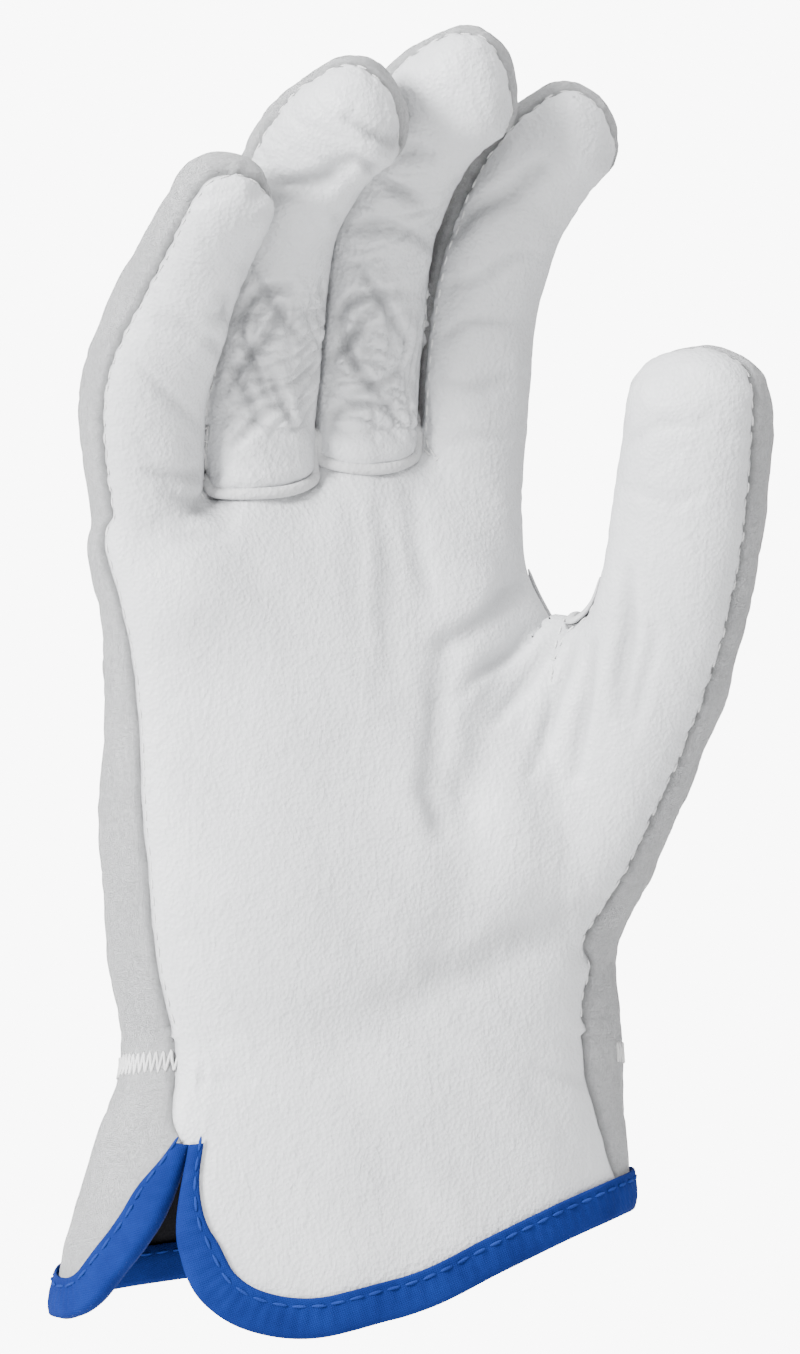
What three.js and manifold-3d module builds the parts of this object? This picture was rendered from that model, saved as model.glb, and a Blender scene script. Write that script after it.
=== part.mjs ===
// Leather rigger glove for the right hand, filled out as when it is worn.
// Fingers point up (+Z), the palm faces -Y and the thumb is towards +X. Sizes are in millimetres.
// The origin is the middle of the cuff's opening, level with the lowest point of the hem.

import * as THREE from 'three';
import Module from 'manifold-3d';

const wasm = await Module();
wasm.setup();

// Driving sizes
const palmLength = 176;
const palmWidth = 108;
const palmDepth = 46;
const cuffSlitLength = 40;
const littleLength = 103;
const ringLength = 114;
const middleLength = 117;
const indexLength = 113;
const thumbLength = 160;
const littleWidth = 24;
const ringWidth = 21.6;
const middleWidth = 21.6;
const indexWidth = 23;
const thumbWidth = 30;
const digitFlatness = 0.92;
const leatherThickness = 1.4;
const seamGap = 0.3;
const weltWidth = 2.4;
const weltThickness = 1;
const tapeWidth = 7;
const tapeThickness = 0.7;
const tapeClearance = 0.45;
const palmFlapTaper = 24;
const backFlapTaper = 9;
const creaseDepth = 1.8;
const moundHeight = 7;
const gatherDepth = 1.1;
const gatherCount = 20;

// How finely the surfaces are divided
const palmSides = 32;
const palmStep = 13;
const digitSides = 12;
const digitStep = 14;
const tipRings = 3;
const seamPoints = 8;

const degrees = Math.PI / 180;

// Each table has named columns and one row for each section or fold.
function table(columns, rows) {
  return rows.map((row) => Object.fromEntries(columns.map((name, i) => [name, row[i]])));
}

// Smooth reading of a table between its rows, for every column but the one it is read along.
function read(rows, key, value) {
  const last = rows.length - 1;
  let i = 0;
  while (i < last - 1 && value > rows[i + 1][key]) i += 1;
  const a = rows[i];
  const b = rows[i + 1];
  const before = rows[Math.max(i - 1, 0)];
  const after = rows[Math.min(i + 2, last)];
  const span = b[key] - a[key];
  const t = Math.min(Math.max((value - a[key]) / span, 0), 1);
  const result = {};
  for (const name of Object.keys(a)) {
    const startSlope = ((b[name] - before[name]) / (b[key] - before[key])) * span;
    const endSlope = ((after[name] - a[name]) / (after[key] - a[key])) * span;
    const rise = b[name] - a[name];
    const bend = 3 * rise - 2 * startSlope - endSlope;
    const settle = startSlope + endSlope - 2 * rise;
    result[name] = a[name] + startSlope * t + bend * t * t + settle * t * t * t;
  }
  result[key] = value;
  return result;
}

// Level sections of the hand from the hem to the finger roots.
// up is a share of palmLength, across and halfWidth of palmWidth, front and back are depths of palmDepth.
// slope is the rise of the section from its middle to the thumb's side, as a share of palmLength.
const palmTable = table(['up', 'across', 'halfWidth', 'front', 'back', 'slope'], [
  [-0.09, -0.06, 0.578, 0.585, 0.585, 0],
  [0.03, -0.05, 0.568, 0.58, 0.58, 0],
  [0.14, -0.029, 0.547, 0.555, 0.555, 0],
  [0.25, -0.005, 0.511, 0.52, 0.52, 0],
  [0.325, 0.006, 0.496, 0.49, 0.48, 0],
  [0.4, -0.01, 0.501, 0.49, 0.48, 0],
  [0.56, -0.032, 0.5, 0.46, 0.44, 0],
  [0.7, -0.036, 0.49, 0.43, 0.39, 0],
  [0.78, -0.072, 0.455, 0.39, 0.35, 0.004],
  [0.85, -0.112, 0.43, 0.35, 0.32, 0.012],
  [0.915, -0.13, 0.425, 0.27, 0.29, 0.03],
  [0.96, -0.128, 0.41, 0.17, 0.24, 0.045],
  [0.985, -0.126, 0.35, 0.06, 0.16, 0.05],
]);

// Seams between palm and back, as angles from the middle of the palm, towards the thumb positive.
const palmSeamTable = table(['up', 'little', 'thumb'], [
  [-0.09, -47, 72],
  [0.12, -47.5, 62],
  [0.2, -48.5, 56],
  [0.245, -57, 51],
  [0.29, -60, 47],
  [0.35, -62, 46],
  [0.42, -63, 52],
  [0.52, -63, 62],
  [0.62, -66, 75],
  [0.8, -73, 84],
  [0.92, -76, 84],
  [0.99, -79, 84],
]);

// The hem round the cuff, from the middle of the back past the slit and the palm to the back again.
// up is a share of palmLength, except at the slit, whose top is set by cuffSlitLength.
const hemTable = table(['angle', 'up', 'slit'], [
  [-180, 0.063, 0],
  [-160, 0.052, 0],
  [-138, 0.043, 0],
  [-112, 0.033, 0],
  [-94, 0.023, 0],
  [-80, 0.021, 0.02],
  [-70, 0.015, 0.12],
  [-62, 0.01, 0.3],
  [-56.5, 0.005, 0.46],
  [-52.5, 0, 0.66],
  [-50.5, 0, 0.95],
  [-48.9, 0, 1],
  [-47.4, 0, 0.95],
  [-45.6, 0, 0.58],
  [-42.6, 0, 0.4],
  [-38.5, 0, 0.25],
  [-33, 0, 0.14],
  [-26, 0, 0.06],
  [-17, 0.001, 0.01],
  [-9, 0.006, 0],
  [4, 0.03, 0],
  [18, 0.068, 0],
  [33, 0.098, 0],
  [47, 0.116, 0],
  [63, 0.127, 0],
  [90, 0.131, 0],
  [120, 0.117, 0],
  [150, 0.089, 0],
  [180, 0.063, 0],
]);

// Long creases and troughs of the palm: where they start and end, seen from the front, how wide and how deep.
// across and width are shares of palmWidth, up of palmLength, depth of creaseDepth.
const palmCreases = table(['across0', 'up0', 'across1', 'up1', 'width', 'depth'], [
  [0.26, 0.83, 0.11, 0.6, 0.05, 1],
  [0.11, 0.6, 0.1, 0.47, 0.06, 0.9],
  [-0.13, 0.33, 0.36, 0.46, 0.09, 0.8],
  [0.04, 0.93, 0.03, 0.72, 0.05, 0.5],
  [-0.34, 0.86, -0.36, 0.62, 0.07, 0.4],
]);

// Soft mounds of the palm: the ball of the thumb, the heel of the hand and the pads under the fingers.
// across and width are shares of palmWidth, up of palmLength, height of moundHeight.
const palmMounds = table(['across', 'up', 'width', 'height'], [
  [0.26, 0.56, 0.2, 1],
  [-0.36, 0.5, 0.2, 0.25],
  [-0.4, 0.86, 0.11, 0.45],
  [0.2, 0.86, 0.12, 0.3],
]);

// A digit: its root as shares of palmWidth, palmDepth and palmLength, and its bends along its length.
// forward bends towards the palm, sideways towards the thumb, in degrees; width is a share of its own width.
// turn rolls its front round its own axis, in degrees. seams are angles from the middle of its front.
const digitTables = {
  little: {
    length: littleLength,
    width: littleWidth,
    root: [-0.43, 0.04, 0.82],
    turn: 0,
    seams: [-62, 80],
    bends: table(['along', 'forward', 'sideways', 'width'], [
      [0, 3, -3, 0.72],
      [0.22, 8, -8, 0.97],
      [0.37, 18, -5, 1.05],
      [0.5, 35, 8, 1.05],
      [0.66, 42, 9, 0.96],
      [0.84, 50, 5, 0.88],
      [1, 54, 5, 0.86],
    ]),
  },
  ring: {
    length: ringLength,
    width: ringWidth,
    root: [-0.225, 0.02, 0.86],
    turn: 0,
    seams: [-68, 78],
    bends: table(['along', 'forward', 'sideways', 'width'], [
      [0, 2, -3, 0.85],
      [0.2, 8, -3, 0.97],
      [0.36, 15, 1, 1],
      [0.5, 22, 0, 1.02],
      [0.62, 37, -1, 1.05],
      [0.76, 44, 17, 1.14],
      [0.88, 47, 45, 1.14],
      [1, 48, 64, 1.06],
    ]),
  },
  middle: {
    length: middleLength,
    width: middleWidth,
    root: [-0.02, 0.035, 0.87],
    turn: 0,
    seams: [-68, 78],
    bends: table(['along', 'forward', 'sideways', 'width'], [
      [0, 1, -2, 0.85],
      [0.2, 5, -2, 0.97],
      [0.36, 13, 0, 1],
      [0.5, 19, 1, 1.02],
      [0.62, 30, 5, 1.05],
      [0.76, 37, 19, 1.15],
      [0.88, 42, 51, 1.16],
      [1, 43, 70, 1.08],
    ]),
  },
  index: {
    length: indexLength,
    width: indexWidth,
    root: [0.195, 0.035, 0.82],
    turn: 0,
    seams: [-72, 84],
    bends: table(['along', 'forward', 'sideways', 'width'], [
      [0, 1, 1, 0.72],
      [0.24, 6, -1, 0.96],
      [0.42, 10, 1, 1],
      [0.55, 17, 4, 0.98],
      [0.68, 24, 13, 1.03],
      [0.84, 33, 34, 1.03],
      [1, 38, 54, 0.96],
    ]),
  },
  thumb: {
    length: thumbLength,
    width: thumbWidth,
    root: [0.17, 0.1, 0.3],
    turn: -38,
    seams: [-84, 67],
    bends: table(['along', 'forward', 'sideways', 'width'], [
      [0, 8, 26, 0.8],
      [0.14, 14, 26, 1.12],
      [0.28, 22, 25, 1.24],
      [0.42, 26, 19, 1.12],
      [0.55, 26, 11, 1.04],
      [0.68, 20, 4, 1.02],
      [0.8, 14, 1, 1.03],
      [0.9, 11, 0, 1],
      [1, 8, -2, 0.94],
    ]),
  },
};

// Where the seam at the base of the ring and middle fingers crosses them, along their length.
const ringSeamShare = 0.15;
const middleSeamShare = 0.17;

// Smooth grain leather, split suede, darker welts and blue tape
const grain = new THREE.MeshStandardMaterial({ color: 0xe6e7e8, roughness: 0.5, metalness: 0 });
const suede = new THREE.MeshStandardMaterial({ color: 0xd2d2d2, roughness: 0.95, metalness: 0 });
const weltLeather = new THREE.MeshStandardMaterial({ color: 0xd9d9d8, roughness: 0.6, metalness: 0 });
const tape = new THREE.MeshStandardMaterial({ color: 0x2a46a8, roughness: 0.8, metalness: 0 });

// A closed rounded section: an oval a little fuller than an ellipse, read at an angle from its front.
const sectionPower = 2.3;

function oval(angle, halfWidth, halfDepth) {
  const side = Math.sin(angle * degrees);
  const front = Math.cos(angle * degrees);
  const power = 2 / sectionPower;
  return [
    halfWidth * Math.sign(side) * Math.abs(side) ** power,
    halfDepth * Math.sign(front) * Math.abs(front) ** power,
  ];
}

// Share of a crease felt at a point, from 0 far from it to 1 in its line.
function creaseShare(crease, across, up) {
  const dx = (crease.across1 - crease.across0) * palmWidth;
  const dz = (crease.up1 - crease.up0) * palmLength;
  const px = across - crease.across0 * palmWidth;
  const pz = up - crease.up0 * palmLength;
  const t = Math.min(Math.max((px * dx + pz * dz) / (dx * dx + dz * dz), 0), 1);
  const away = Math.hypot(px - t * dx, pz - t * dz) / (crease.width * palmWidth);
  return Math.exp(-away * away);
}

// Folds of the palm's surface: creases in front and the gathers that the elastic pulls in across the back.
function palmFold(angle, across, up) {
  const front = Math.max(Math.cos(angle * degrees), 0);
  const back = Math.max(-Math.cos(angle * degrees), 0);
  let rise = 0;
  let depth = 0;
  for (const mound of palmMounds) {
    const away = Math.hypot(across - mound.across * palmWidth, up - mound.up * palmLength);
    rise += Math.exp(-((away / (mound.width * palmWidth)) ** 2)) * mound.height * front;
  }
  for (const crease of palmCreases) depth -= creaseShare(crease, across, up) * crease.depth * front;
  const gatherBand = Math.exp(-(((up / palmLength - 0.325) / 0.055) ** 2));
  const gathers = Math.cos(angle * gatherCount * degrees) * gatherBand * Math.sqrt(back);
  return rise * moundHeight + depth * creaseDepth + gathers * gatherDepth - gatherBand * gatherDepth * Math.sqrt(back);
}

// A point of the hand's surface: outset is measured outwards from the leather's outer face.
function smoothPalmPoint(angle, height, outset) {
  const row = read(palmTable, 'up', height / palmLength);
  const centre = row.across * palmWidth;
  const depth = Math.abs(angle) % 360 < 90 || Math.abs(angle) % 360 > 270 ? row.front : row.back;
  const [side, front] = oval(angle, row.halfWidth * palmWidth, depth * palmDepth);
  const fold = palmFold(angle, centre + side, height);
  const [sideOut, frontOut] = oval(angle, outset + fold, outset + fold);
  const rise = (row.slope * palmLength * side) / (row.halfWidth * palmWidth);
  return new THREE.Vector3(centre + side + sideOut, -front - frontOut, height + rise);
}

// The same point on the flat facets between the ring angles, so that what lies on the leather follows them.
const facetAngle = 360 / palmSides;

function palmPoint(angle, height, outset) {
  const start = Math.floor(angle / facetAngle) * facetAngle;
  const share = (angle - start) / facetAngle;
  const point = smoothPalmPoint(start, height, outset);
  return share === 0 ? point : point.lerp(smoothPalmPoint(start + facetAngle, height, outset), share);
}

// A digit's centre line, stepped along its bends, with a frame at each step.
const centreSteps = 60;

function makeDigit(spec) {
  const frames = [];
  const root = new THREE.Vector3(
    spec.root[0] * palmWidth,
    spec.root[1] * palmDepth,
    spec.root[2] * palmLength,
  );
  const centre = root.clone();
  for (let i = 0; i <= centreSteps; i += 1) {
    const row = read(spec.bends, 'along', i / centreSteps);
    const forward = row.forward * degrees;
    const sideways = row.sideways * degrees;
    const along = new THREE.Vector3(
      Math.sin(sideways) * Math.cos(forward),
      -Math.sin(forward),
      Math.cos(sideways) * Math.cos(forward),
    );
    const side = new THREE.Vector3(0, -1, 0).cross(along).negate().normalize();
    const front = along.clone().cross(side).negate();
    side.applyAxisAngle(along, spec.turn * degrees);
    front.applyAxisAngle(along, spec.turn * degrees);
    frames.push({ centre: centre.clone(), along, side, front, width: row.width * spec.width });
    centre.addScaledVector(along, spec.length / centreSteps);
  }
  return { ...spec, frames, tip: spec.width * 0.42 };
}

function digitFrame(digit, distance) {
  const place = Math.min(Math.max((distance / digit.length) * centreSteps, 0), centreSteps);
  const i = Math.min(Math.floor(place), centreSteps - 1);
  const a = digit.frames[i];
  const b = digit.frames[i + 1];
  const t = place - i;
  const over = distance - Math.min(Math.max(distance, 0), digit.length);
  const frame = {
    centre: a.centre.clone().lerp(b.centre, t),
    along: a.along.clone().lerp(b.along, t).normalize(),
    side: a.side.clone().lerp(b.side, t).normalize(),
    front: a.front.clone().lerp(b.front, t).normalize(),
    width: a.width + (b.width - a.width) * t,
  };
  frame.centre.addScaledVector(frame.along, over);
  return frame;
}

// How far the round tip has closed at a distance along the digit: 0 before it, 1 at its end.
function tipShare(digit, distance, outset) {
  const past = distance - (digit.length - digit.tip);
  return Math.min(Math.max(past / (digit.tip + outset), 0), 1);
}

// A point of a digit's surface; reach scales it towards the centre line, back shifts it to the back.
function digitPoint(digit, distance, angle, outset, reach = 1, back = 0) {
  const frame = digitFrame(digit, distance);
  const round = Math.sqrt(Math.max(1 - tipShare(digit, distance, outset) ** 2.4, 0));
  const halfWidth = (frame.width / 2 + outset) * round * reach;
  const halfDepth = ((frame.width * digitFlatness) / 2 + outset) * round * reach;
  const [side, front] = oval(angle, halfWidth, halfDepth);
  return frame.centre
    .addScaledVector(frame.side, side)
    .addScaledVector(frame.front, front - back);
}

// Distances along a digit at which sections are taken, close together on the round tip.
function digitStations(digit, start, outset) {
  const straight = digit.length - digit.tip;
  const count = Math.round((straight - start) / digitStep);
  const stations = [];
  for (let i = 0; i <= count; i += 1) stations.push(start + ((straight - start) * i) / count);
  for (let i = 1; i <= tipRings; i += 1) {
    const share = Math.sin(((i / tipRings) * Math.PI) / 2) * 0.996;
    stations.push(straight + (digit.tip + outset) * share);
  }
  return stations;
}

// Closed solid through a row of rings, which all have the same number of points.
function loft(rings, ringClosed = false) {
  const count = rings[0].length;
  const points = rings.flat();
  const faces = [];
  const spans = ringClosed ? rings.length : rings.length - 1;
  for (let i = 0; i < spans; i += 1) {
    const a = i * count;
    const b = ((i + 1) % rings.length) * count;
    for (let j = 0; j < count; j += 1) {
      const k = (j + 1) % count;
      faces.push([a + j, a + k, b + k], [a + j, b + k, b + j]);
    }
  }
  if (!ringClosed) {
    for (const [first, flip] of [[0, true], [(rings.length - 1) * count, false]]) {
      const middle = new THREE.Vector3();
      for (let j = 0; j < count; j += 1) middle.addScaledVector(points[first + j], 1 / count);
      points.push(middle);
      for (let j = 0; j < count; j += 1) {
        const pair = [first + j, first + ((j + 1) % count)];
        if (flip) pair.reverse();
        faces.push([...pair, points.length - 1]);
      }
    }
  }
  let volume = 0;
  for (const [a, b, c] of faces) volume += points[a].dot(points[b].clone().cross(points[c]));
  if (volume < 0) for (const face of faces) face.reverse();
  const vertProperties = new Float32Array(points.flatMap((p) => [p.x, p.y, p.z]));
  const triVerts = new Uint32Array(faces.flat());
  return new wasm.Manifold(new wasm.Mesh({ numProp: 3, vertProperties, triVerts }));
}

function angles(from, to, count) {
  return Array.from({ length: count }, (_, i) => from + ((to - from) * i) / (count - 1));
}

function ringAngles(count) {
  return Array.from({ length: count }, (_, i) => -180 + (360 * i) / count);
}

// Heights of the palm's sections: even steps, then close together where the top rounds over.
const palmTop = palmTable.at(-1).up * palmLength;
const palmBottom = palmTable[0].up * palmLength;

function palmHeights(outset) {
  const heights = [];
  const shoulder = palmLength * 0.91;
  const count = Math.round((shoulder - palmBottom) / palmStep);
  for (let i = 0; i <= count; i += 1) heights.push(palmBottom + ((shoulder - palmBottom) * i) / count);
  for (const share of [0.4, 0.75, 1]) heights.push(shoulder + (palmTop + outset - shoulder) * share);
  return heights;
}

function palmSolid(outset) {
  const ring = ringAngles(palmSides);
  return loft(palmHeights(outset).map((height) => ring.map((angle) => palmPoint(angle, height, outset))));
}

function digitSolid(digit, outset) {
  const ring = ringAngles(digitSides);
  return loft(digitStations(digit, 0, outset).map(
    (distance) => ring.map((angle) => digitPoint(digit, distance, angle, outset)),
  ));
}

// Cutting solids that hold the front of the palm or of a digit, up to its seams.
// back moves the seams to the back, which leaves the gap between two sewn pieces.
const cutMargin = 0.6;
const palmCutMargin = 1;
const cutDepth = 0.3;

function palmFront(back, grow) {
  const heights = palmHeights(palmCutMargin + grow);
  heights[0] -= 1;
  return loft(heights.map((height) => {
    const seam = read(palmSeamTable, 'up', height / palmLength);
    const middle = read(palmTable, 'up', height / palmLength).across * palmWidth;
    const shift = new THREE.Vector3(0, back, 0);
    const outer = angles(seam.little, seam.thumb, seamPoints * 2)
      .map((angle) => smoothPalmPoint(angle, height, palmCutMargin + grow).add(shift));
    const inner = [seam.thumb, seam.little].map((angle) => {
      const point = smoothPalmPoint(angle, height, 0).add(shift);
      point.x = middle + (point.x - middle) * 0.8;
      point.y *= cutDepth;
      return point;
    });
    return [...outer, ...inner];
  }));
}

function digitFront(digit, back, grow, start = 0) {
  const stations = digitStations(digit, start, cutMargin + grow);
  stations[0] -= grow;
  return loft(stations.map((distance) => {
    const toTip = tipShare(digit, distance, cutMargin + grow) ** 2;
    const [left, right] = digit.seams.map((seam) => seam + (Math.sign(seam) * 90 - seam) * toTip);
    const outer = angles(left, right, seamPoints)
      .map((angle) => digitPoint(digit, distance, angle, cutMargin + grow, 1, back));
    const inner = [right, left].map((angle) => digitPoint(digit, distance, angle, 0, cutDepth, back));
    return [...outer, ...inner];
  }));
}

// Height of the hem at an angle round the cuff.
function hemHeight(row) {
  return row.up * palmLength + row.slit * cuffSlitLength;
}

// The hem at the table's angles and at each facet's edge, without stations that lie almost together.
const hemStations = [
  ...hemTable,
  ...ringAngles(palmSides)
    .filter((angle) => hemTable.every((row) => Math.abs(row.angle - angle) > 1.5))
    .map((angle) => read(hemTable, 'angle', angle)),
].sort((a, b) => a.angle - b.angle);

// How many stations of the hem lie beside each side of the slit.
const slitRows = 8;

// Everything of the cuff below its hem, slit included.
function belowHem() {
  return loft(hemStations.slice(1).map((row) => {
    const top = hemHeight(row);
    const bottom = palmBottom - 5;
    return [
      palmPoint(row.angle, top, 6),
      palmPoint(row.angle, top, -8),
      palmPoint(row.angle, palmBottom, -8).setZ(bottom),
      palmPoint(row.angle, palmBottom, 6).setZ(bottom),
    ];
  }), true);
}

// A point beside the hem's edge: inward is measured in the leather's surface, away from the edge.
function besideHem(path, i, inward, outset) {
  const before = path[Math.max(i - 1, 0)];
  const after = path[Math.min(i + 1, path.length - 1)];
  const here = path[i];
  const reach = palmPoint(here.angle + 1, here.height, 0).distanceTo(palmPoint(here.angle - 1, here.height, 0)) / 2;
  const run = (after.angle - before.angle) * reach;
  const rise = after.height - before.height;
  const length = Math.hypot(run, rise);
  const angle = here.angle - ((rise / length) * inward) / reach;
  return palmPoint(angle, here.height + (run / length) * inward, outset);
}

// Share of the tape's width that shows beside the slit: it narrows to the slit's top.
function tapeShare(path, i) {
  const drop = (i < path.length / 2 ? path[0] : path[path.length - 1]).height - path[i].height;
  const besideSlit = i < slitRows || i >= path.length - slitRows;
  const taper = i < path.length / 2 ? palmFlapTaper : backFlapTaper;
  return besideSlit ? Math.min(Math.max(drop / taper, 0.25), 1) : 1;
}

// Folded tape over the whole hem, from one side of the slit round the cuff to the other.
function bindingSolid() {
  const peak = hemTable.find((row) => row.slit === 1).angle;
  const round = hemStations.slice(1).map((row) => ({ angle: row.angle, height: hemHeight(row) }));
  const path = [
    ...round.filter((row) => row.angle > peak),
    ...round.filter((row) => row.angle < peak).map((row) => ({ ...row, angle: row.angle + 360 })),
  ];
  const away = tapeWidth;
  const clear = tapeClearance;
  const outer = clear + tapeThickness;
  const inner = -leatherThickness - clear - tapeThickness;
  const profile = [
    [away, outer], [0.4, outer], [-clear - tapeThickness, clear],
    [-clear - tapeThickness, -leatherThickness - clear], [0.4, inner], [away, inner],
    [away, inner + tapeThickness], [-clear, inner + tapeThickness],
    [-clear, outer - tapeThickness], [away, outer - tapeThickness],
  ];
  return loft(path.map((_, i) => profile.map(([inward, outset]) => {
    const share = inward > 0 ? tapeShare(path, i) : 1;
    return besideHem(path, i, inward * share, outset);
  })));
}

// A narrow strip lying along a row of surface points, with a flat section.
function stripSolid(points, outwards) {
  return loft(points.map((point, i) => {
    const along = points[Math.min(i + 1, points.length - 1)].clone().sub(points[Math.max(i - 1, 0)]).normalize();
    const out = outwards[i].clone().addScaledVector(along, -outwards[i].dot(along)).normalize();
    const across = along.clone().cross(out);
    return [[-1, -1], [1, -1], [0.7, 1], [-0.7, 1]].map(([side, up]) => point.clone()
      .addScaledVector(across, (side * weltWidth) / 2)
      .addScaledVector(out, up * weltThickness));
  }));
}

// Points round the front of a digit at one distance, lifted off the leather.
function digitArc(digit, distance, from, to, count, outset) {
  const arc = angles(from, to, count);
  const centre = digitFrame(digit, distance).centre;
  const points = arc.map((angle) => digitPoint(digit, distance, angle, outset));
  return { points, outwards: points.map((point) => point.clone().sub(centre)) };
}

function baseWeltSolid(ring, middle) {
  const ringArc = digitArc(ring, ring.length * ringSeamShare + weltWidth, -62, 58, 9, seamGap);
  const middleArc = digitArc(middle, middle.length * middleSeamShare + weltWidth, -58, 66, 9, seamGap);
  return stripSolid(
    [...ringArc.points, ...middleArc.points],
    [...ringArc.outwards, ...middleArc.outwards],
  );
}

// The seams beside the crotch of the thumb: down the hand's side and up the thumb, to where they meet.
function webWeltSolid(hand) {
  const lift = seamGap;
  const down = angles(0.9, 0.6, 31).map((share) => {
    const height = share * palmLength;
    return { point: palmPoint(84, height, lift), centre: new THREE.Vector3(0, 0, height) };
  });
  const up = angles(0.3, 0.75, 46).map((share) => ({
    point: digitPoint(hand.thumb, share * thumbLength, hand.thumb.seams[0], lift),
    centre: digitFrame(hand.thumb, share * thumbLength).centre,
  }));
  let meet = { gap: Infinity };
  down.forEach((a, i) => up.forEach((b, j) => {
    const gap = a.point.distanceTo(b.point);
    if (gap < meet.gap) meet = { gap, i, j };
  }));
  const line = [...down.slice(0, meet.i).reverse().filter((_, i) => i % 3 === 0).reverse(),
    ...up.slice(meet.j + 1, meet.j + 12).filter((_, i) => i % 3 === 0)];
  return stripSolid(
    line.map((entry) => entry.point),
    line.map((entry) => entry.point.clone().sub(entry.centre)),
  );
}

const digits = Object.fromEntries(Object.entries(digitTables).map(([name, spec]) => [name, makeDigit(spec)]));
const { little, ring, middle, index, thumb } = digits;
const allDigits = Object.values(digits);

function join(solids) {
  return solids.reduce((sum, solid) => sum.add(solid));
}

// The whole hand as one solid, outset from the leather's outer face.
function handForm(outset) {
  return join([palmSolid(outset), ...allDigits.map((digit) => digitSolid(digit, outset))]);
}

// The glove's whole wall, open at the cuff, from which the sewn pieces are cut.
const wall = handForm(0).subtract(handForm(-leatherThickness)).subtract(belowHem());

const ringStart = ring.length * ringSeamShare;
const middleStart = middle.length * middleSeamShare;
const palmPieceFronts = (back, grow) => join([
  palmFront(back, grow),
  ...[little, index, thumb].map((digit) => digitFront(digit, back, grow)),
]);
const fingerFronts = join([
  digitFront(ring, seamGap, 2 * seamGap, ringStart),
  digitFront(middle, seamGap, 2 * seamGap, middleStart),
]);

const palmPanel = wall.intersect(palmPieceFronts(0, 0)).subtract(fingerFronts);
const ringFront = wall.intersect(digitFront(ring, 0, 0, ringStart));
const middleFront = wall.intersect(digitFront(middle, 0, 0, middleStart));
const backPanel = wall.subtract(palmPieceFronts(seamGap, 2 * seamGap)).subtract(fingerFronts);

// Shares of the digits' lengths beyond which a panel's leather makes a solid of its own.
const digitCuts = { little: 0.3, ring: 0.22, middle: 0.22, index: 0.3, thumb: 0.58 };

// All of a digit beyond its cut, grown past the leather by this much.
function beyondCut(name, grow) {
  const digit = digits[name];
  const frame = digitFrame(digit, digitCuts[name] * digit.length);
  const start = frame.along.dot(frame.centre) - grow;
  return digitSolid(digit, grow).trimByPlane(frame.along.toArray(), start);
}

// A panel parted at the roots of these digits, with the seams' gap between the parts.
function parted(panel, names) {
  const parts = {};
  let rest = panel;
  for (const name of names) {
    parts[name] = rest.intersect(beyondCut(name, 0));
    rest = rest.subtract(beyondCut(name, seamGap));
  }
  return { ...parts, rest };
}

// Shares of the palm's length at which the hand's leather is parted again, from the cuff up.
const handCuts = [0.27, 0.58];

// A panel parted level at these shares, with the seams' gap between the parts.
function stacked(panel, shares) {
  const parts = [];
  let rest = panel;
  for (const share of shares) {
    const height = share * palmLength;
    parts.push(rest.trimByPlane([0, 0, -1], seamGap / 2 - height));
    rest = rest.trimByPlane([0, 0, 1], seamGap / 2 + height);
  }
  return [...parts, rest];
}

const palmParts = parted(palmPanel, ['little', 'index', 'thumb']);
const backParts = parted(backPanel, ['little', 'ring', 'middle', 'index', 'thumb']);
const [palmCuff, palmHand, palmKnuckles] = stacked(palmParts.rest, handCuts);
const [backCuff, backHand, backKnuckles] = stacked(backParts.rest, handCuts);

// What lies on the leather keeps the gap to it.
const leatherReach = handForm(seamGap);
const baseWelt = baseWeltSolid(ring, middle).subtract(leatherReach);
const webWelt = webWeltSolid(digits).subtract(leatherReach);

// A named mesh of a solid's largest body
function piece(name, solid, material) {
  const bodies = solid.decompose().sort((a, b) => b.volume() - a.volume());
  const mesh = bodies[0].getMesh();
  const geometry = new THREE.BufferGeometry();
  geometry.setAttribute('position', new THREE.BufferAttribute(mesh.vertProperties, 3));
  geometry.setIndex(new THREE.BufferAttribute(mesh.triVerts, 1));
  geometry.computeVertexNormals();
  const result = new THREE.Mesh(geometry, material);
  result.name = name;
  return result;
}

const group = new THREE.Group();
group.add(
  piece('palm_cuff', palmCuff, grain),
  piece('palm_panel', palmHand, grain),
  piece('palm_knuckles', palmKnuckles, grain),
  piece('palm_little_finger', palmParts.little, grain),
  piece('palm_index_finger', palmParts.index, grain),
  piece('palm_thumb', palmParts.thumb, grain),
  piece('ring_finger_front', ringFront, grain),
  piece('middle_finger_front', middleFront, grain),
  piece('back_cuff', backCuff, suede),
  piece('back_panel', backHand, suede),
  piece('back_knuckles', backKnuckles, suede),
  piece('back_little_finger', backParts.little, suede),
  piece('back_ring_finger', backParts.ring, suede),
  piece('back_middle_finger', backParts.middle, suede),
  piece('back_index_finger', backParts.index, suede),
  piece('back_thumb', backParts.thumb, suede),
  piece('base_welt', baseWelt, weltLeather),
  piece('web_welt', webWelt, weltLeather),
  piece('cuff_binding', bindingSolid(), tape),
);

export default group;
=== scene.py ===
import math

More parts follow.
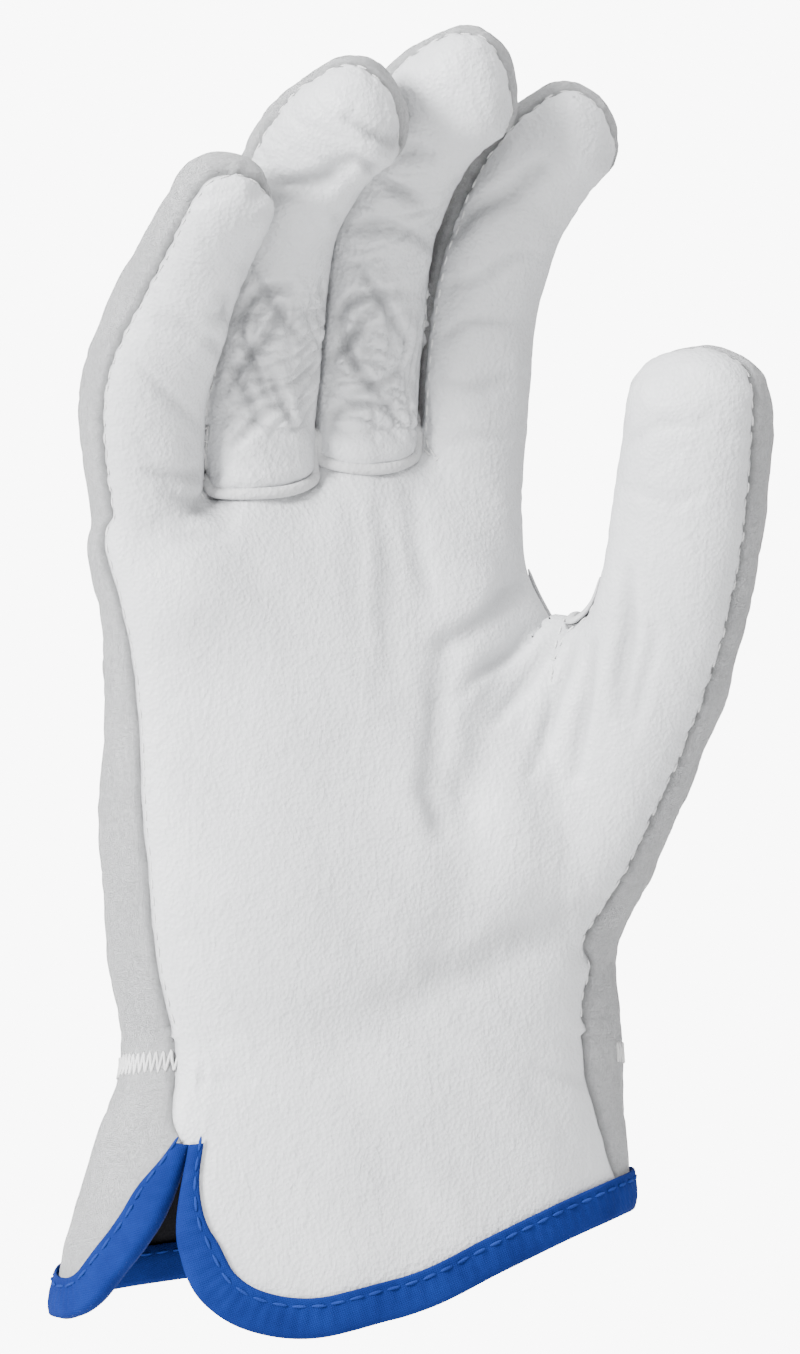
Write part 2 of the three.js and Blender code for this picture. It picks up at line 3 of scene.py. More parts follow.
import bpy
import numpy as np
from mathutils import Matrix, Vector


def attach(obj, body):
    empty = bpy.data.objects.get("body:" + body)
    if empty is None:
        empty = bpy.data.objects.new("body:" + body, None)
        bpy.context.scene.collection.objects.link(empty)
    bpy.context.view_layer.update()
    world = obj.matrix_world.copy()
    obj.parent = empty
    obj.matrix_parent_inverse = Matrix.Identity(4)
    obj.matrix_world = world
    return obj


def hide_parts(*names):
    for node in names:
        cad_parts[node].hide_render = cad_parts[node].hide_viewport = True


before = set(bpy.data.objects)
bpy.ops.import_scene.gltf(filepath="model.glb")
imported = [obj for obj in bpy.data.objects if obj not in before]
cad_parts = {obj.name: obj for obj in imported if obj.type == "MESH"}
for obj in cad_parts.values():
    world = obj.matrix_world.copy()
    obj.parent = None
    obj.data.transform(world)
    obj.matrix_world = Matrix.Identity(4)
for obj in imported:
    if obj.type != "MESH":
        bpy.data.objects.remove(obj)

bl_info = {
    "name": "Rigger glove",
    "version": (1, 0, 0),
    "blender": (4, 5, 0),
    "location": "3D View > Sidebar > Glove",
    "description": "Builds a leather rigger glove and the stage it is shown on",
    "category": "Object",
}

# Sizes in millimetres, as in the solids
PALM_LENGTH = 176.0
PALM_WIDTH = 108.0
PALM_DEPTH = 46.0
SLIT_LENGTH = 40.0
LEATHER = 1.4
SECTION_POWER = 2.3
FLATNESS = 0.92
CREASE_DEPTH = 1.8
MOUND_HEIGHT = 7.0
GATHER_DEPTH = 1.1
GATHER_COUNT = 20
TAPE_THICKNESS = 0.7
TAPE_CLEARANCE = 0.45
PALM_FLAP_TAPER = 24.0
BACK_FLAP_TAPER = 9.0
WELT_WIDTH = 2.4
FINGER_GAP = 0.8
CROTCH = (40.0, -14.0, 137.0)
CROTCH_REACH = 18.0
CROTCH_FILL = 19.0
FOLD_STRENGTH = 1.5
WEB_CALM = 11.0
MM = 0.001
VIEW_AZIMUTH = -22.0


def table(columns, rows):
    """Rows of numbers as named columns."""
    data = np.array(rows, float)
    return {name: data[:, i] for i, name in enumerate(columns)}


PALM = table(["up", "across", "half", "front", "back", "slope"], [
    [-0.09, -0.06, 0.578, 0.585, 0.585, 0],
    [0.03, -0.05, 0.568, 0.58, 0.58, 0],
    [0.14, -0.029, 0.547, 0.555, 0.555, 0],
    [0.25, -0.005, 0.511, 0.52, 0.52, 0],
    [0.325, 0.006, 0.496, 0.49, 0.48, 0],
    [0.4, -0.01, 0.501, 0.49, 0.48, 0],
    [0.56, -0.032, 0.5, 0.46, 0.44, 0],
    [0.7, -0.036, 0.49, 0.43, 0.39, 0],
    [0.78, -0.072, 0.455, 0.39, 0.35, 0.004],
    [0.85, -0.112, 0.43, 0.35, 0.32, 0.012],
    [0.915, -0.13, 0.425, 0.27, 0.29, 0.03],
    [0.96, -0.128, 0.41, 0.17, 0.24, 0.045],
    [0.985, -0.126, 0.35, 0.06, 0.16, 0.05],
])

PALM_SEAMS = table(["up", "little", "thumb"], [
    [-0.09, -47, 72],
    [0.12, -47.5, 62],
    [0.2, -48.5, 56],
    [0.245, -57, 51],
    [0.29, -60, 47],
    [0.35, -62, 46],
    [0.42, -63, 52],
    [0.52, -63, 62],
    [0.62, -66, 75],
    [0.8, -73, 84],
    [0.92, -76, 84],
    [0.99, -79, 84],
])

HEM = table(["angle", "up", "slit"], [
    [-180, 0.063, 0],
    [-160, 0.052, 0],
    [-138, 0.043, 0],
    [-112, 0.033, 0],
    [-94, 0.023, 0],
    [-80, 0.021, 0.02],
    [-70, 0.015, 0.12],
    [-62, 0.01, 0.3],
    [-56.5, 0.005, 0.46],
    [-52.5, 0, 0.66],
    [-50.5, 0, 0.95],
    [-48.9, 0, 1],
    [-47.4, 0, 0.95],
    [-45.6, 0, 0.58],
    [-42.6, 0, 0.4],
    [-38.5, 0, 0.25],
    [-33, 0, 0.14],
    [-26, 0, 0.06],
    [-17, 0.001, 0.01],
    [-9, 0.006, 0],
    [4, 0.03, 0],
    [18, 0.068, 0],
    [33, 0.098, 0],
    [47, 0.116, 0],
    [63, 0.127, 0],
    [90, 0.131, 0],
    [120, 0.117, 0],
    [150, 0.089, 0],
    [180, 0.063, 0],
])

PALM_CREASES = table(["across0", "up0", "across1", "up1", "width", "depth"], [
    [0.26, 0.83, 0.11, 0.6, 0.05, 1],
    [0.11, 0.6, 0.1, 0.47, 0.06, 0.9],
    [-0.13, 0.33, 0.36, 0.46, 0.09, 0.8],
    [0.04, 0.93, 0.03, 0.72, 0.05, 0.5],
    [-0.34, 0.86, -0.36, 0.62, 0.07, 0.4],
])

PALM_MOUNDS = table(["across", "up", "width", "height"], [
    [0.26, 0.56, 0.2, 1],
    [-0.36, 0.5, 0.2, 0.25],
    [-0.4, 0.86, 0.11, 0.45],
    [0.2, 0.86, 0.12, 0.3],
])

BENDS = ["along", "forward", "sideways", "width"]
DIGITS = {
    "little": dict(length=103, width=24, root=(-0.43, 0.04, 0.82), turn=0, seams=(-62, 80), bends=table(BENDS, [
        [0, 3, -3, 0.72], [0.22, 8, -8, 0.97], [0.37, 18, -5, 1.05], [0.5, 35, 8, 1.05],
        [0.66, 42, 9, 0.96], [0.84, 50, 5, 0.88], [1, 54, 5, 0.86],
    ])),
    "ring": dict(length=114, width=21.6, root=(-0.225, 0.02, 0.86), turn=0, seams=(-84, 88), bends=table(BENDS, [
        [0, 2, -3, 0.95], [0.2, 8, -3, 1.1], [0.36, 15, 1, 1.12], [0.5, 22, 0, 1.08],
        [0.62, 37, -1, 1.05], [0.76, 44, 17, 1.14], [0.88, 47, 45, 1.14], [1, 48, 64, 1.06],
    ])),
    "middle": dict(length=117, width=21.6, root=(-0.02, 0.035, 0.87), turn=0, seams=(-84, 88), bends=table(BENDS, [
        [0, 1, -2, 0.95], [0.2, 5, -2, 1.12], [0.36, 13, 0, 1.14], [0.5, 19, 1, 1.13],
        [0.62, 30, 5, 1.1], [0.76, 37, 19, 1.15], [0.88, 42, 51, 1.16], [1, 43, 70, 1.08],
    ])),
    "index": dict(length=113, width=23, root=(0.195, 0.035, 0.82), turn=0, seams=(-72, 84), bends=table(BENDS, [
        [0, 1, 1, 0.8], [0.24, 6, -1, 1.03], [0.42, 10, 1, 1.06], [0.55, 17, 4, 1.06],
        [0.68, 24, 13, 1.06], [0.84, 33, 34, 1.03], [1, 38, 54, 0.96],
    ])),
    "thumb": dict(length=160, width=30, root=(0.17, 0.1, 0.3), turn=-38, seams=(-84, 67), bends=table(BENDS, [
        [0, 8, 26, 0.8], [0.14, 14, 26, 1.12], [0.28, 22, 25, 1.24], [0.42, 26, 19, 1.12],
        [0.55, 26, 11, 1.04], [0.68, 20, 4, 1.02], [0.8, 14, 1, 1.03], [0.9, 11, 0, 1], [1, 8, -2, 0.94],
    ])),
}
NAMES = list(DIGITS)

# Where the base seam crosses the two middle fingers: height at its lowest, and its rise to each side
BASE_SEAMS = table(["digit", "share", "left", "right"], [
    [1, 0.15, 0.0, 3.0],
    [2, 0.17, 2.5, 3.5],
])

# Folds seen from the palm's side: ends in the picture's plane, across and up, then width and depth.
# A negative depth is a ridge.
FOLDS = table(["x0", "z0", "x1", "z1", "width", "depth"], [
    [-21, 225, -5.5, 230, 2.2, 1.6],
    [-30, 202, -16, 209, 1.5, 1.1],
    [-29, 188, -17, 204, 1.3, 1.2],
    [-28, 206, -20, 186, 1.4, 1.0],
    [-31, 196, -22, 181, 1.3, 1.0],
    [-24, 210, -15, 198, 1.2, 0.9],
    [-20, 193, -15, 180, 1.3, 0.9],
    [-27, 178, -17, 186, 1.3, 0.8],
    [-10, 203, 6, 209, 1.4, 1.1],
    [-11, 191, 3, 207, 1.3, 1.1],
    [-9, 209, -1, 190, 1.3, 1.0],
    [-2, 213, 7, 198, 1.3, 1.0],
    [-4, 187, 6, 192, 1.2, 0.9],
    [-9, 183, 2, 186, 1.4, 0.9],
    [-7, 199, 6, 184, 1.2, 0.8],
    [-6, 222, 10, 218, 1.5, 0.9],
    [-3, 231, 11, 226, 1.6, 1.0],
    [-4, 240, 12, 233, 1.5, 0.9],
    [12, 218, 34, 232, 2.4, 1.2],
    [14, 208, 33, 216, 1.8, 0.5],
    [13, 200, 31, 203, 1.6, 0.5],
    [14, 190, 30, 190, 1.8, 0.5],
    [16, 178, 29, 180, 1.8, 0.4],
    [-40, 168, -28, 163, 2.0, 0.7],
    [-44, 172, -31, 170, 1.6, 0.7],
    [-38, 158, -28, 160, 1.6, 0.4],
    [-48, 192, -33, 180, 1.8, 0.5],
    [-44, 202, -31, 196, 1.6, 0.4],
    [-40, 222, -27, 226, 1.7, 0.5],
    [30, 148, 15, 136, 2.6, 0.9],
    [15, 136, 12, 108, 3.0, 1.1],
    [12, 108, 14, 99, 2.6, 0.9],
    [38, 140, 26, 122, 1.6, 0.8],
    [41, 138, 33, 112, 1.5, 0.8],
    [45, 138, 41, 110, 1.5, 0.8],
    [33, 140, 19, 128, 1.5, 0.7],
    [52, 152, 50, 122, 2.0, 0.9],
    [57, 140, 52, 118, 1.6, 0.5],
    [4, 66, 46, 84, 5.0, 0.6],
    [2, 170, 4, 130, 3.0, 0.6],
    [-4, 168, -2, 138, 2.4, 0.4],
    [8, 166, 12, 146, 2.4, 0.5],
    [49, 178, 66, 182, 1.6, 0.4],
    [49, 168, 65, 166, 1.5, 0.3],
    [34, 52, 46, 48, 2.0, 0.4],
    [-36, 52, -26, 50, 2.0, 0.3],
])


def read(rows, key, value):
    """Every column of a table at these values of its key, by smooth interpolation."""
    value = np.asarray(value, float)
    keys = rows[key]
    last = len(keys) - 1
    i = np.clip(np.searchsorted(keys, value) - 1, 0, last - 1)
    before = np.maximum(i - 1, 0)
    after = np.minimum(i + 2, last)
    span = keys[i + 1] - keys[i]
    t = np.clip((value - keys[i]) / span, 0, 1)
    out = {}
    for name, column in rows.items():
        rise = column[i + 1] - column[i]
        start = (column[i + 1] - column[before]) / (keys[i + 1] - keys[before]) * span
        end = (column[after] - column[i]) / (keys[after] - keys[i]) * span
        out[name] = column[i] + start * t + (3 * rise - 2 * start - end) * t * t + (start + end - 2 * rise) * t ** 3
    out[key] = value
    return out


def smooth_step(low, high, value):
    t = np.clip((value - low) / (high - low), 0, 1)
    return t * t * (3 - 2 * t)


def line_share(px, pz, x0, z0, x1, z1, width):
    """How strongly a line of this width is felt at points of a plane, and how far along it they lie."""
    dx, dz = x1 - x0, z1 - z0
    t = np.clip(((px - x0) * dx + (pz - z0) * dz) / (dx * dx + dz * dz), 0, 1)
    away = np.hypot(px - x0 - t * dx, pz - z0 - t * dz)
    return np.exp(-(away / width) ** 2), t


def palm_fold(angle, across, up):
    """Outward rise of the palm's surface from its mounds, long creases and the elastic's gathers."""
    turn = np.radians(angle)
    front = np.maximum(np.cos(turn), 0)
    back = np.maximum(-np.cos(turn), 0)
    rise = np.zeros_like(across)
    for a, u, w, h in zip(*PALM_MOUNDS.values()):
        away = np.hypot(across - a * PALM_WIDTH, up - u * PALM_LENGTH) / (w * PALM_WIDTH)
        rise += np.exp(-away ** 2) * h * front * MOUND_HEIGHT
    for a0, u0, a1, u1, w, d in zip(*PALM_CREASES.values()):
        ends = (a0 * PALM_WIDTH, u0 * PALM_LENGTH, a1 * PALM_WIDTH, u1 * PALM_LENGTH)
        rise -= line_share(across, up, *ends, w * PALM_WIDTH)[0] * d * front * CREASE_DEPTH
    band = np.exp(-((up / PALM_LENGTH - 0.325) / 0.055) ** 2) * np.sqrt(back)
    return rise + (np.cos(turn * GATHER_COUNT) - 1) * band * GATHER_DEPTH


def palm_field(p):
    """Distance to the palm's surface, and the angle round it and height up it of each point."""
    x, y, z = p.T
    h = z.copy()
    for _ in range(3):
        row = read(PALM, "up", h / PALM_LENGTH)
        half = row["half"] * PALM_WIDTH
        side = x - row["across"] * PALM_WIDTH
        h = z - row["slope"] * PALM_LENGTH * np.clip(side / half, -1, 1)
    depth = np.where(y < 0, row["front"], row["back"]) * PALM_DEPTH
    u, v = side / half, -y / depth
    au, av = np.abs(u) + 1e-6, np.abs(v) + 1e-6
    value = (au ** SECTION_POWER + av ** SECTION_POWER) ** (1 / SECTION_POWER)
    slope = value ** (1 - SECTION_POWER) * np.hypot(au ** (SECTION_POWER - 1) / half, av ** (SECTION_POWER - 1) / depth)
    half_power = SECTION_POWER / 2
    angle = np.degrees(np.arctan2(np.sign(u) * au ** half_power, np.sign(v) * av ** half_power))
    g = (value - 1) / np.maximum(slope, 1e-3) - palm_fold(angle, x, h)
    g = np.maximum(g, h - PALM["up"][-1] * PALM_LENGTH)
    return g, angle, h


CENTRE_STEPS = 60


def bend_digit(spec):
    """Centres and frames along a digit, stepped through its bends."""
    row = read(spec["bends"], "along", np.linspace(0, 1, CENTRE_STEPS + 1))
    f, s = np.radians(row["forward"]), np.radians(row["sideways"])
    along = np.stack([np.sin(s) * np.cos(f), -np.sin(f), np.cos(s) * np.cos(f)], 1)
    step = spec["length"] / CENTRE_STEPS
    root = np.array(spec["root"]) * (PALM_WIDTH, PALM_DEPTH, PALM_LENGTH)
    centre = root + np.vstack([np.zeros(3), np.cumsum(along[:-1], 0)]) * step
    side = -np.cross(np.array([0, -1, 0]), along)
    side /= np.linalg.norm(side, axis=1)[:, None]
    front = -np.cross(along, side)
    c, n = math.cos(math.radians(spec["turn"])), math.sin(math.radians(spec["turn"]))
    turned = side * c + np.cross(along, side) * n
    front = front * c + np.cross(along, front) * n
    return dict(spec, centre=centre, axis=along, side=turned, front=front,
                thick=row["width"] * spec["width"], step=step, tip=spec["width"] * 0.42)


FORMS = {name: bend_digit(spec) for name, spec in DIGITS.items()}


def digit_field(form, p):
    """Distance to a digit's surface, and each point's place along and angle round it."""
    nearest = np.empty(len(p), int)
    square = (form["centre"] ** 2).sum(1)
    for i in range(0, len(p), 60000):
        part = p[i:i + 60000]
        nearest[i:i + 60000] = np.argmin(square - 2 * part @ form["centre"].T, axis=1)
    offset = p - form["centre"][nearest]
    s = nearest * form["step"] + (offset * form["axis"][nearest]).sum(1)
    thick = np.interp(s, np.arange(CENTRE_STEPS + 1) * form["step"], form["thick"]) / 2
    u = (offset * form["side"][nearest]).sum(1) / thick
    v = (offset * form["front"][nearest]).sum(1) / (thick * FLATNESS)
    au, av = np.abs(u) + 1e-6, np.abs(v) + 1e-6
    value = (au ** SECTION_POWER + av ** SECTION_POWER) ** (1 / SECTION_POWER)
    past = np.maximum(s - (form["length"] - form["tip"]), 0) / form["tip"]
    g = (np.sqrt(value ** 2 + past ** 2.4) - 1) * thick * 0.96
    half_power = SECTION_POWER / 2
    angle = np.degrees(np.arctan2(np.sign(u) * au ** half_power, np.sign(v) * av ** half_power))
    return np.maximum(g, -s), angle, s


def hand_field(p, palm=None, digits=None):
    """Distance to the whole hand's surface, its parts joined by soft webs."""
    if palm is None:
        palm = palm_field(p)[0]
        digits = np.stack([digit_field(FORMS[name], p)[0] for name in NAMES])
    order = np.sort(digits, axis=0)
    above = smooth_step(171, 180, p[:, 2])
    part = (FINGER_GAP - (order[1] - order[0])) / 2 - (1 - above) * 50
    digit = np.maximum(order[0], part)
    crotch = np.exp(-((p - CROTCH) ** 2).sum(1) / CROTCH_REACH ** 2)
    soft = np.where(digits.argmin(0) == 4, 5 + CROTCH_FILL * crotch, 3.5)
    blend = np.clip(0.5 + 0.5 * (digit - palm) / soft, 0, 1)
    return digit * (1 - blend) + palm * blend - soft * blend * (1 - blend)


EDGES = [(a, b) for a in range(8) for b in range(8) if a < b and bin(a ^ b).count("1") == 1]


def surface_net(low, shape, step):
    """The hand's surface as triangles over a grid of cells."""
    axes = [low[i] + np.arange(shape[i]) * step for i in range(3)]
    grid = np.stack(np.meshgrid(*axes, indexing="ij"), -1).reshape(-1, 3)
    palm = np.full(len(grid), 30.0)
    near = grid[:, 2] < PALM_LENGTH + 14
    palm[near] = palm_field(grid[near])[0]
    digits = np.full((5, len(grid)), 30.0)
    for i, name in enumerate(NAMES):
        centre = FORMS[name]["centre"]
        reach = FORMS[name]["thick"].max() / 2 + 8
        near = ((grid > centre.min(0) - reach) & (grid < centre.max(0) + reach)).all(1)
        digits[i][near] = digit_field(FORMS[name], grid[near])[0]
    value = hand_field(grid, palm, digits).reshape(shape)
    inside = value < 0
    corner = [((k >> 2) & 1, (k >> 1) & 1, k & 1) for k in range(8)]
    cut = [tuple(slice(c, n - 1 + c) for c, n in zip(k, shape)) for k in corner]
    count = sum(inside[k].astype(np.uint8) for k in cut)
    cells = np.argwhere((count > 0) & (count < 8))
    number = np.full(count.shape, -1)
    number[tuple(cells.T)] = np.arange(len(cells))
    total, hits = np.zeros((len(cells), 3)), np.zeros(len(cells))
    for a, b in EDGES:
        ca, cb = np.array(corner[a]), np.array(corner[b])
        va, vb = value[tuple((cells + ca).T)], value[tuple((cells + cb).T)]
        cross = (va < 0) != (vb < 0)
        t = va[cross] / (va[cross] - vb[cross])
        total[cross] += ca + (cb - ca) * t[:, None]
        hits[cross] += 1
    points = np.array(low) + (cells + total / hits[:, None]) * step
    faces = []
    for axis in range(3):
        others = [i for i in range(3) if i != axis]
        first = tuple(slice(0, n - 1) if i == axis else slice(1, n - 1) for i, n in enumerate(shape))
        second = tuple(slice(1, n) if i == axis else slice(1, n - 1) for i, n in enumerate(shape))
        change = np.argwhere(inside[first] != inside[second])
        base = change.copy()
        for i in others:
            base[:, i] += 1
        flip = inside[tuple(base.T)] ^ (axis == 1)
        quad = []
        for da, db in ((1, 1), (0, 1), (0, 0), (1, 0)):
            cell = base.copy()
            cell[:, others[0]] -= da
            cell[:, others[1]] -= db
            quad.append(number[tuple(cell.T)])
        quad = np.stack(quad, 1)
        quad[~flip] = quad[~flip][:, ::-1]
        faces.append(quad)
    quads = np.concatenate(faces)
    return points, np.concatenate([quads[:, [0, 1, 2]], quads[:, [0, 2, 3]]])


def vertex_normals(points, tris):
    a, b, c = points[tris].transpose(1, 0, 2)
    normal = np.cross(b - a, c - a)
    out = np.zeros_like(points)
    for i in range(3):
        np.add.at(out, tris[:, i], normal)
    return out / np.maximum(np.linalg.norm(out, axis=1), 1e-9)[:, None]


def gradient_size(points, tris, values):
    """Size of a field's slope along the surface at each vertex."""
    a, b, c = points[tris].transpose(1, 0, 2)
    fa, fb, fc = values[tris].T
    normal = np.cross(b - a, c - a)
    area = np.maximum(np.linalg.norm(normal, axis=1), 1e-9)
    slope = np.cross(normal, c - b) * fa[:, None] + np.cross(normal, a - c) * fb[:, None]
    slope = (slope + np.cross(normal, b - a) * fc[:, None]) / (area ** 2)[:, None]
    size = np.linalg.norm(slope, axis=1)
    total, weight = np.zeros(len(points)), np.zeros(len(points))
    for i in range(3):
        np.add.at(total, tris[:, i], size * area)
        np.add.at(weight, tris[:, i], area)
    return total / np.maximum(weight, 1e-9)


def split(data, tris, values):
    """Cuts triangles where a field is zero. Returns the data with new vertices, the triangles and their sides."""
    values = np.where(np.abs(values) < 0.06, 0, values)
    f = values[tris]
    lone = np.zeros(len(tris), int)
    low, high = (f < 0).sum(1), (f > 0).sum(1)
    cross = (low > 0) & (high > 0)
    one = np.where(low == 1, -1, 1)
    for i in range(3):
        lone[np.where(one < 0, f[:, i] < 0, (f[:, i] > 0) & (high == 1))] = i
    turned = np.stack([tris[np.arange(len(tris)), (lone + k) % 3] for k in range(3)], 1)
    work = turned[cross]
    g = values[work]
    pairs = np.concatenate([work[:, [0, 1]], work[:, [2, 0]], work[:, [1, 2]]])
    need = values[pairs[:, 0]] * values[pairs[:, 1]] < 0
    ordered = np.sort(pairs, axis=1)
    key = ordered[:, 0].astype(np.int64) * len(data) + ordered[:, 1]
    unique, back = np.unique(key[need], return_inverse=True)
    a, b = unique // len(data), unique % len(data)
    t = values[a] / (values[a] - values[b])
    added = data[a] + (data[b] - data[a]) * t[:, None]
    where = np.full(len(pairs), -1)
    where[need] = len(data) + back
    m = len(work)
    e01, e20, e12 = where[:m], where[m:2 * m], where[2 * m:]
    p0, p1, p2 = work.T
    both = (e01 >= 0) & (e20 >= 0)
    out = [
        (p0[both], e01[both], e20[both], g[both, 0]),
        (e01[both], p1[both], p2[both], g[both, 1]),
        (e01[both], p2[both], e20[both], g[both, 1]),
    ]
    only01 = (e01 >= 0) & (e20 < 0)
    out += [(p0[only01], e01[only01], p2[only01], g[only01, 0]), (e01[only01], p1[only01], p2[only01], g[only01, 1])]
    only20 = (e20 >= 0) & (e01 < 0)
    out += [(p0[only20], p1[only20], e20[only20], g[only20, 0]), (e20[only20], p1[only20], p2[only20], g[only20, 2])]
    only12 = (e12 >= 0) & (e01 < 0) & (e20 < 0)
    out += [(p0[only12], p1[only12], e12[only12], g[only12, 1]), (p0[only12], e12[only12], p2[only12], g[only12, 2])]
    made = np.concatenate([np.stack(t[:3], 1) for t in out])
    sign = np.concatenate([t[3] for t in out])
    whole = tris[~cross]
    sides = np.concatenate([f[~cross].sum(1), sign])
    return np.vstack([data, added]), np.concatenate([whole, made]), sides, np.concatenate([values, np.zeros(len(added))])


def contour(data, tris, values, level, keep=None):
    """The line on which a field has this level, as points and the edges between them."""
    v = values - level + 1e-7
    ends, keys = [], []
    for i, j in ((0, 1), (1, 2), (2, 0)):
        a, b = np.minimum(tris[:, i], tris[:, j]), np.maximum(tris[:, i], tris[:, j])
        cross = (v[a] < 0) != (v[b] < 0)
        keys.append(np.where(cross, a.astype(np.int64) * len(data) + b, -1))
    keys = np.stack(keys, 1)
    hit = (keys >= 0).sum(1) == 2
    pair = np.sort(keys[hit], axis=1)[:, 1:]
    unique, back = np.unique(pair, return_inverse=True)
    a, b = unique // len(data), unique % len(data)
    t = v[a] / (v[a] - v[b])
    points = data[a] + (data[b] - data[a]) * t[:, None]
    ends = back.reshape(-1, 2)
    if keep is not None:
        good = keep(points)
        ends = ends[good[ends].all(1)]
    return points, ends


# Solids that each panel stands for
PALM_NODES = ["palm_" + part for part in ("cuff", "panel", "knuckles", "little_finger", "index_finger", "thumb")]
BACK_NODES = ["back_cuff", "back_panel", "back_knuckles", *("back_" + name + ("" if name == "thumb" else "_finger") for name in NAMES)]

# Columns of the hand's vertex data
X = slice(0, 3)
N = slice(3, 6)
SEAM, RING_LINE, MIDDLE_LINE, HEM_LINE, RUN, DIGIT, CLEFT, PALM_NESS = range(6, 14)
CACHE = {}


def part_fields(points, normals):
    """Seam and hem fields at the hand's vertices, as lengths over the surface where they cross zero."""
    palm, palm_angle, up = palm_field(points)
    seams = read(PALM_SEAMS, "up", up / PALM_LENGTH)
    palm_front = np.minimum(palm_angle - seams["little"], seams["thumb"] - palm_angle) * 0.7
    found = [digit_field(FORMS[name], points) for name in NAMES]
    near = np.argmin([g for g, _, _ in found], axis=0)
    pick = lambda k: np.choose(near, [f[k] for f in found])
    g, angle, s = pick(0), pick(1), pick(2)
    left = np.choose(near, [FORMS[name]["seams"][0] for name in NAMES])
    right = np.choose(near, [FORMS[name]["seams"][1] for name in NAMES])
    length = np.choose(near, [FORMS[name]["length"] for name in NAMES])
    tip = np.choose(near, [FORMS[name]["tip"] for name in NAMES])
    to_tip = np.clip((s - length + tip) / tip, 0, 1) ** 2
    left, right = left + (-90 - left) * to_tip, right + (90 - right) * to_tip
    digit_front = np.minimum(angle - left, right - angle) * 0.2
    share = smooth_step(-2.5, 2.5, palm - g)
    front = palm_front * (1 - share) + digit_front * share
    hem = read(HEM, "angle", palm_angle)
    slit = np.minimum(hem["slit"], 0.93) * SLIT_LENGTH
    hem_line = np.where(up < 60, up - hem["up"] * PALM_LENGTH - slit, 60)
    lines = []
    for digit, place, at_left, at_right in zip(*BASE_SEAMS.values()):
        spread = np.sin(np.radians(angle))
        tilt = np.where(spread < 0, at_left, at_right) * spread ** 2
        line = s - place * FORMS[NAMES[int(digit)]]["length"] - tilt
        lines.append(np.where(near == digit, line, -20.0))
    run = np.where(share > 0.5, s, up)
    first, second = np.sort([g for g, _, _ in found], axis=0)[:2]
    cleft = smooth_step(4.5, 1.2, second - first) * share * smooth_step(166, 174, points[:, 2])
    return [front, *lines, hem_line, run, near.astype(float), cleft, 1 - share]


def wave(p, direction, length, phase, bend):
    d = np.array(direction) / np.linalg.norm(direction)
    warp = bend * np.sin(p @ np.array([0.11, 0.07, 0.13]) + phase * 3)
    return (p @ d + warp) * 2 * np.pi / length + phase


def ridged(p, scale, seed, count=5):
    """Crossing crease lines: 0 on open leather and up to 1 in the lines."""
    rng = np.random.default_rng(seed)
    out = np.zeros(len(p))
    for _ in range(count):
        direction = rng.normal(size=3)
        length = scale * rng.uniform(0.7, 1.5)
        crest = np.abs(np.cos(wave(p, direction, length, rng.uniform(0, 6), scale * 0.35)))
        gate = 0.5 + 0.5 * np.sin(wave(p, rng.normal(size=3), scale * 3.1, rng.uniform(0, 6), scale * 0.3))
        out = np.maximum(out, crest ** 14 * gate)
    return out


def soft_noise(p, scale, seed, count=7):
    rng = np.random.default_rng(seed)
    out = np.zeros(len(p))
    for _ in range(count):
        length = scale * rng.uniform(0.7, 1.6)
        out += np.sin(wave(p, rng.normal(size=3), length, rng.uniform(0, 6), scale * 0.3))
    return out / count


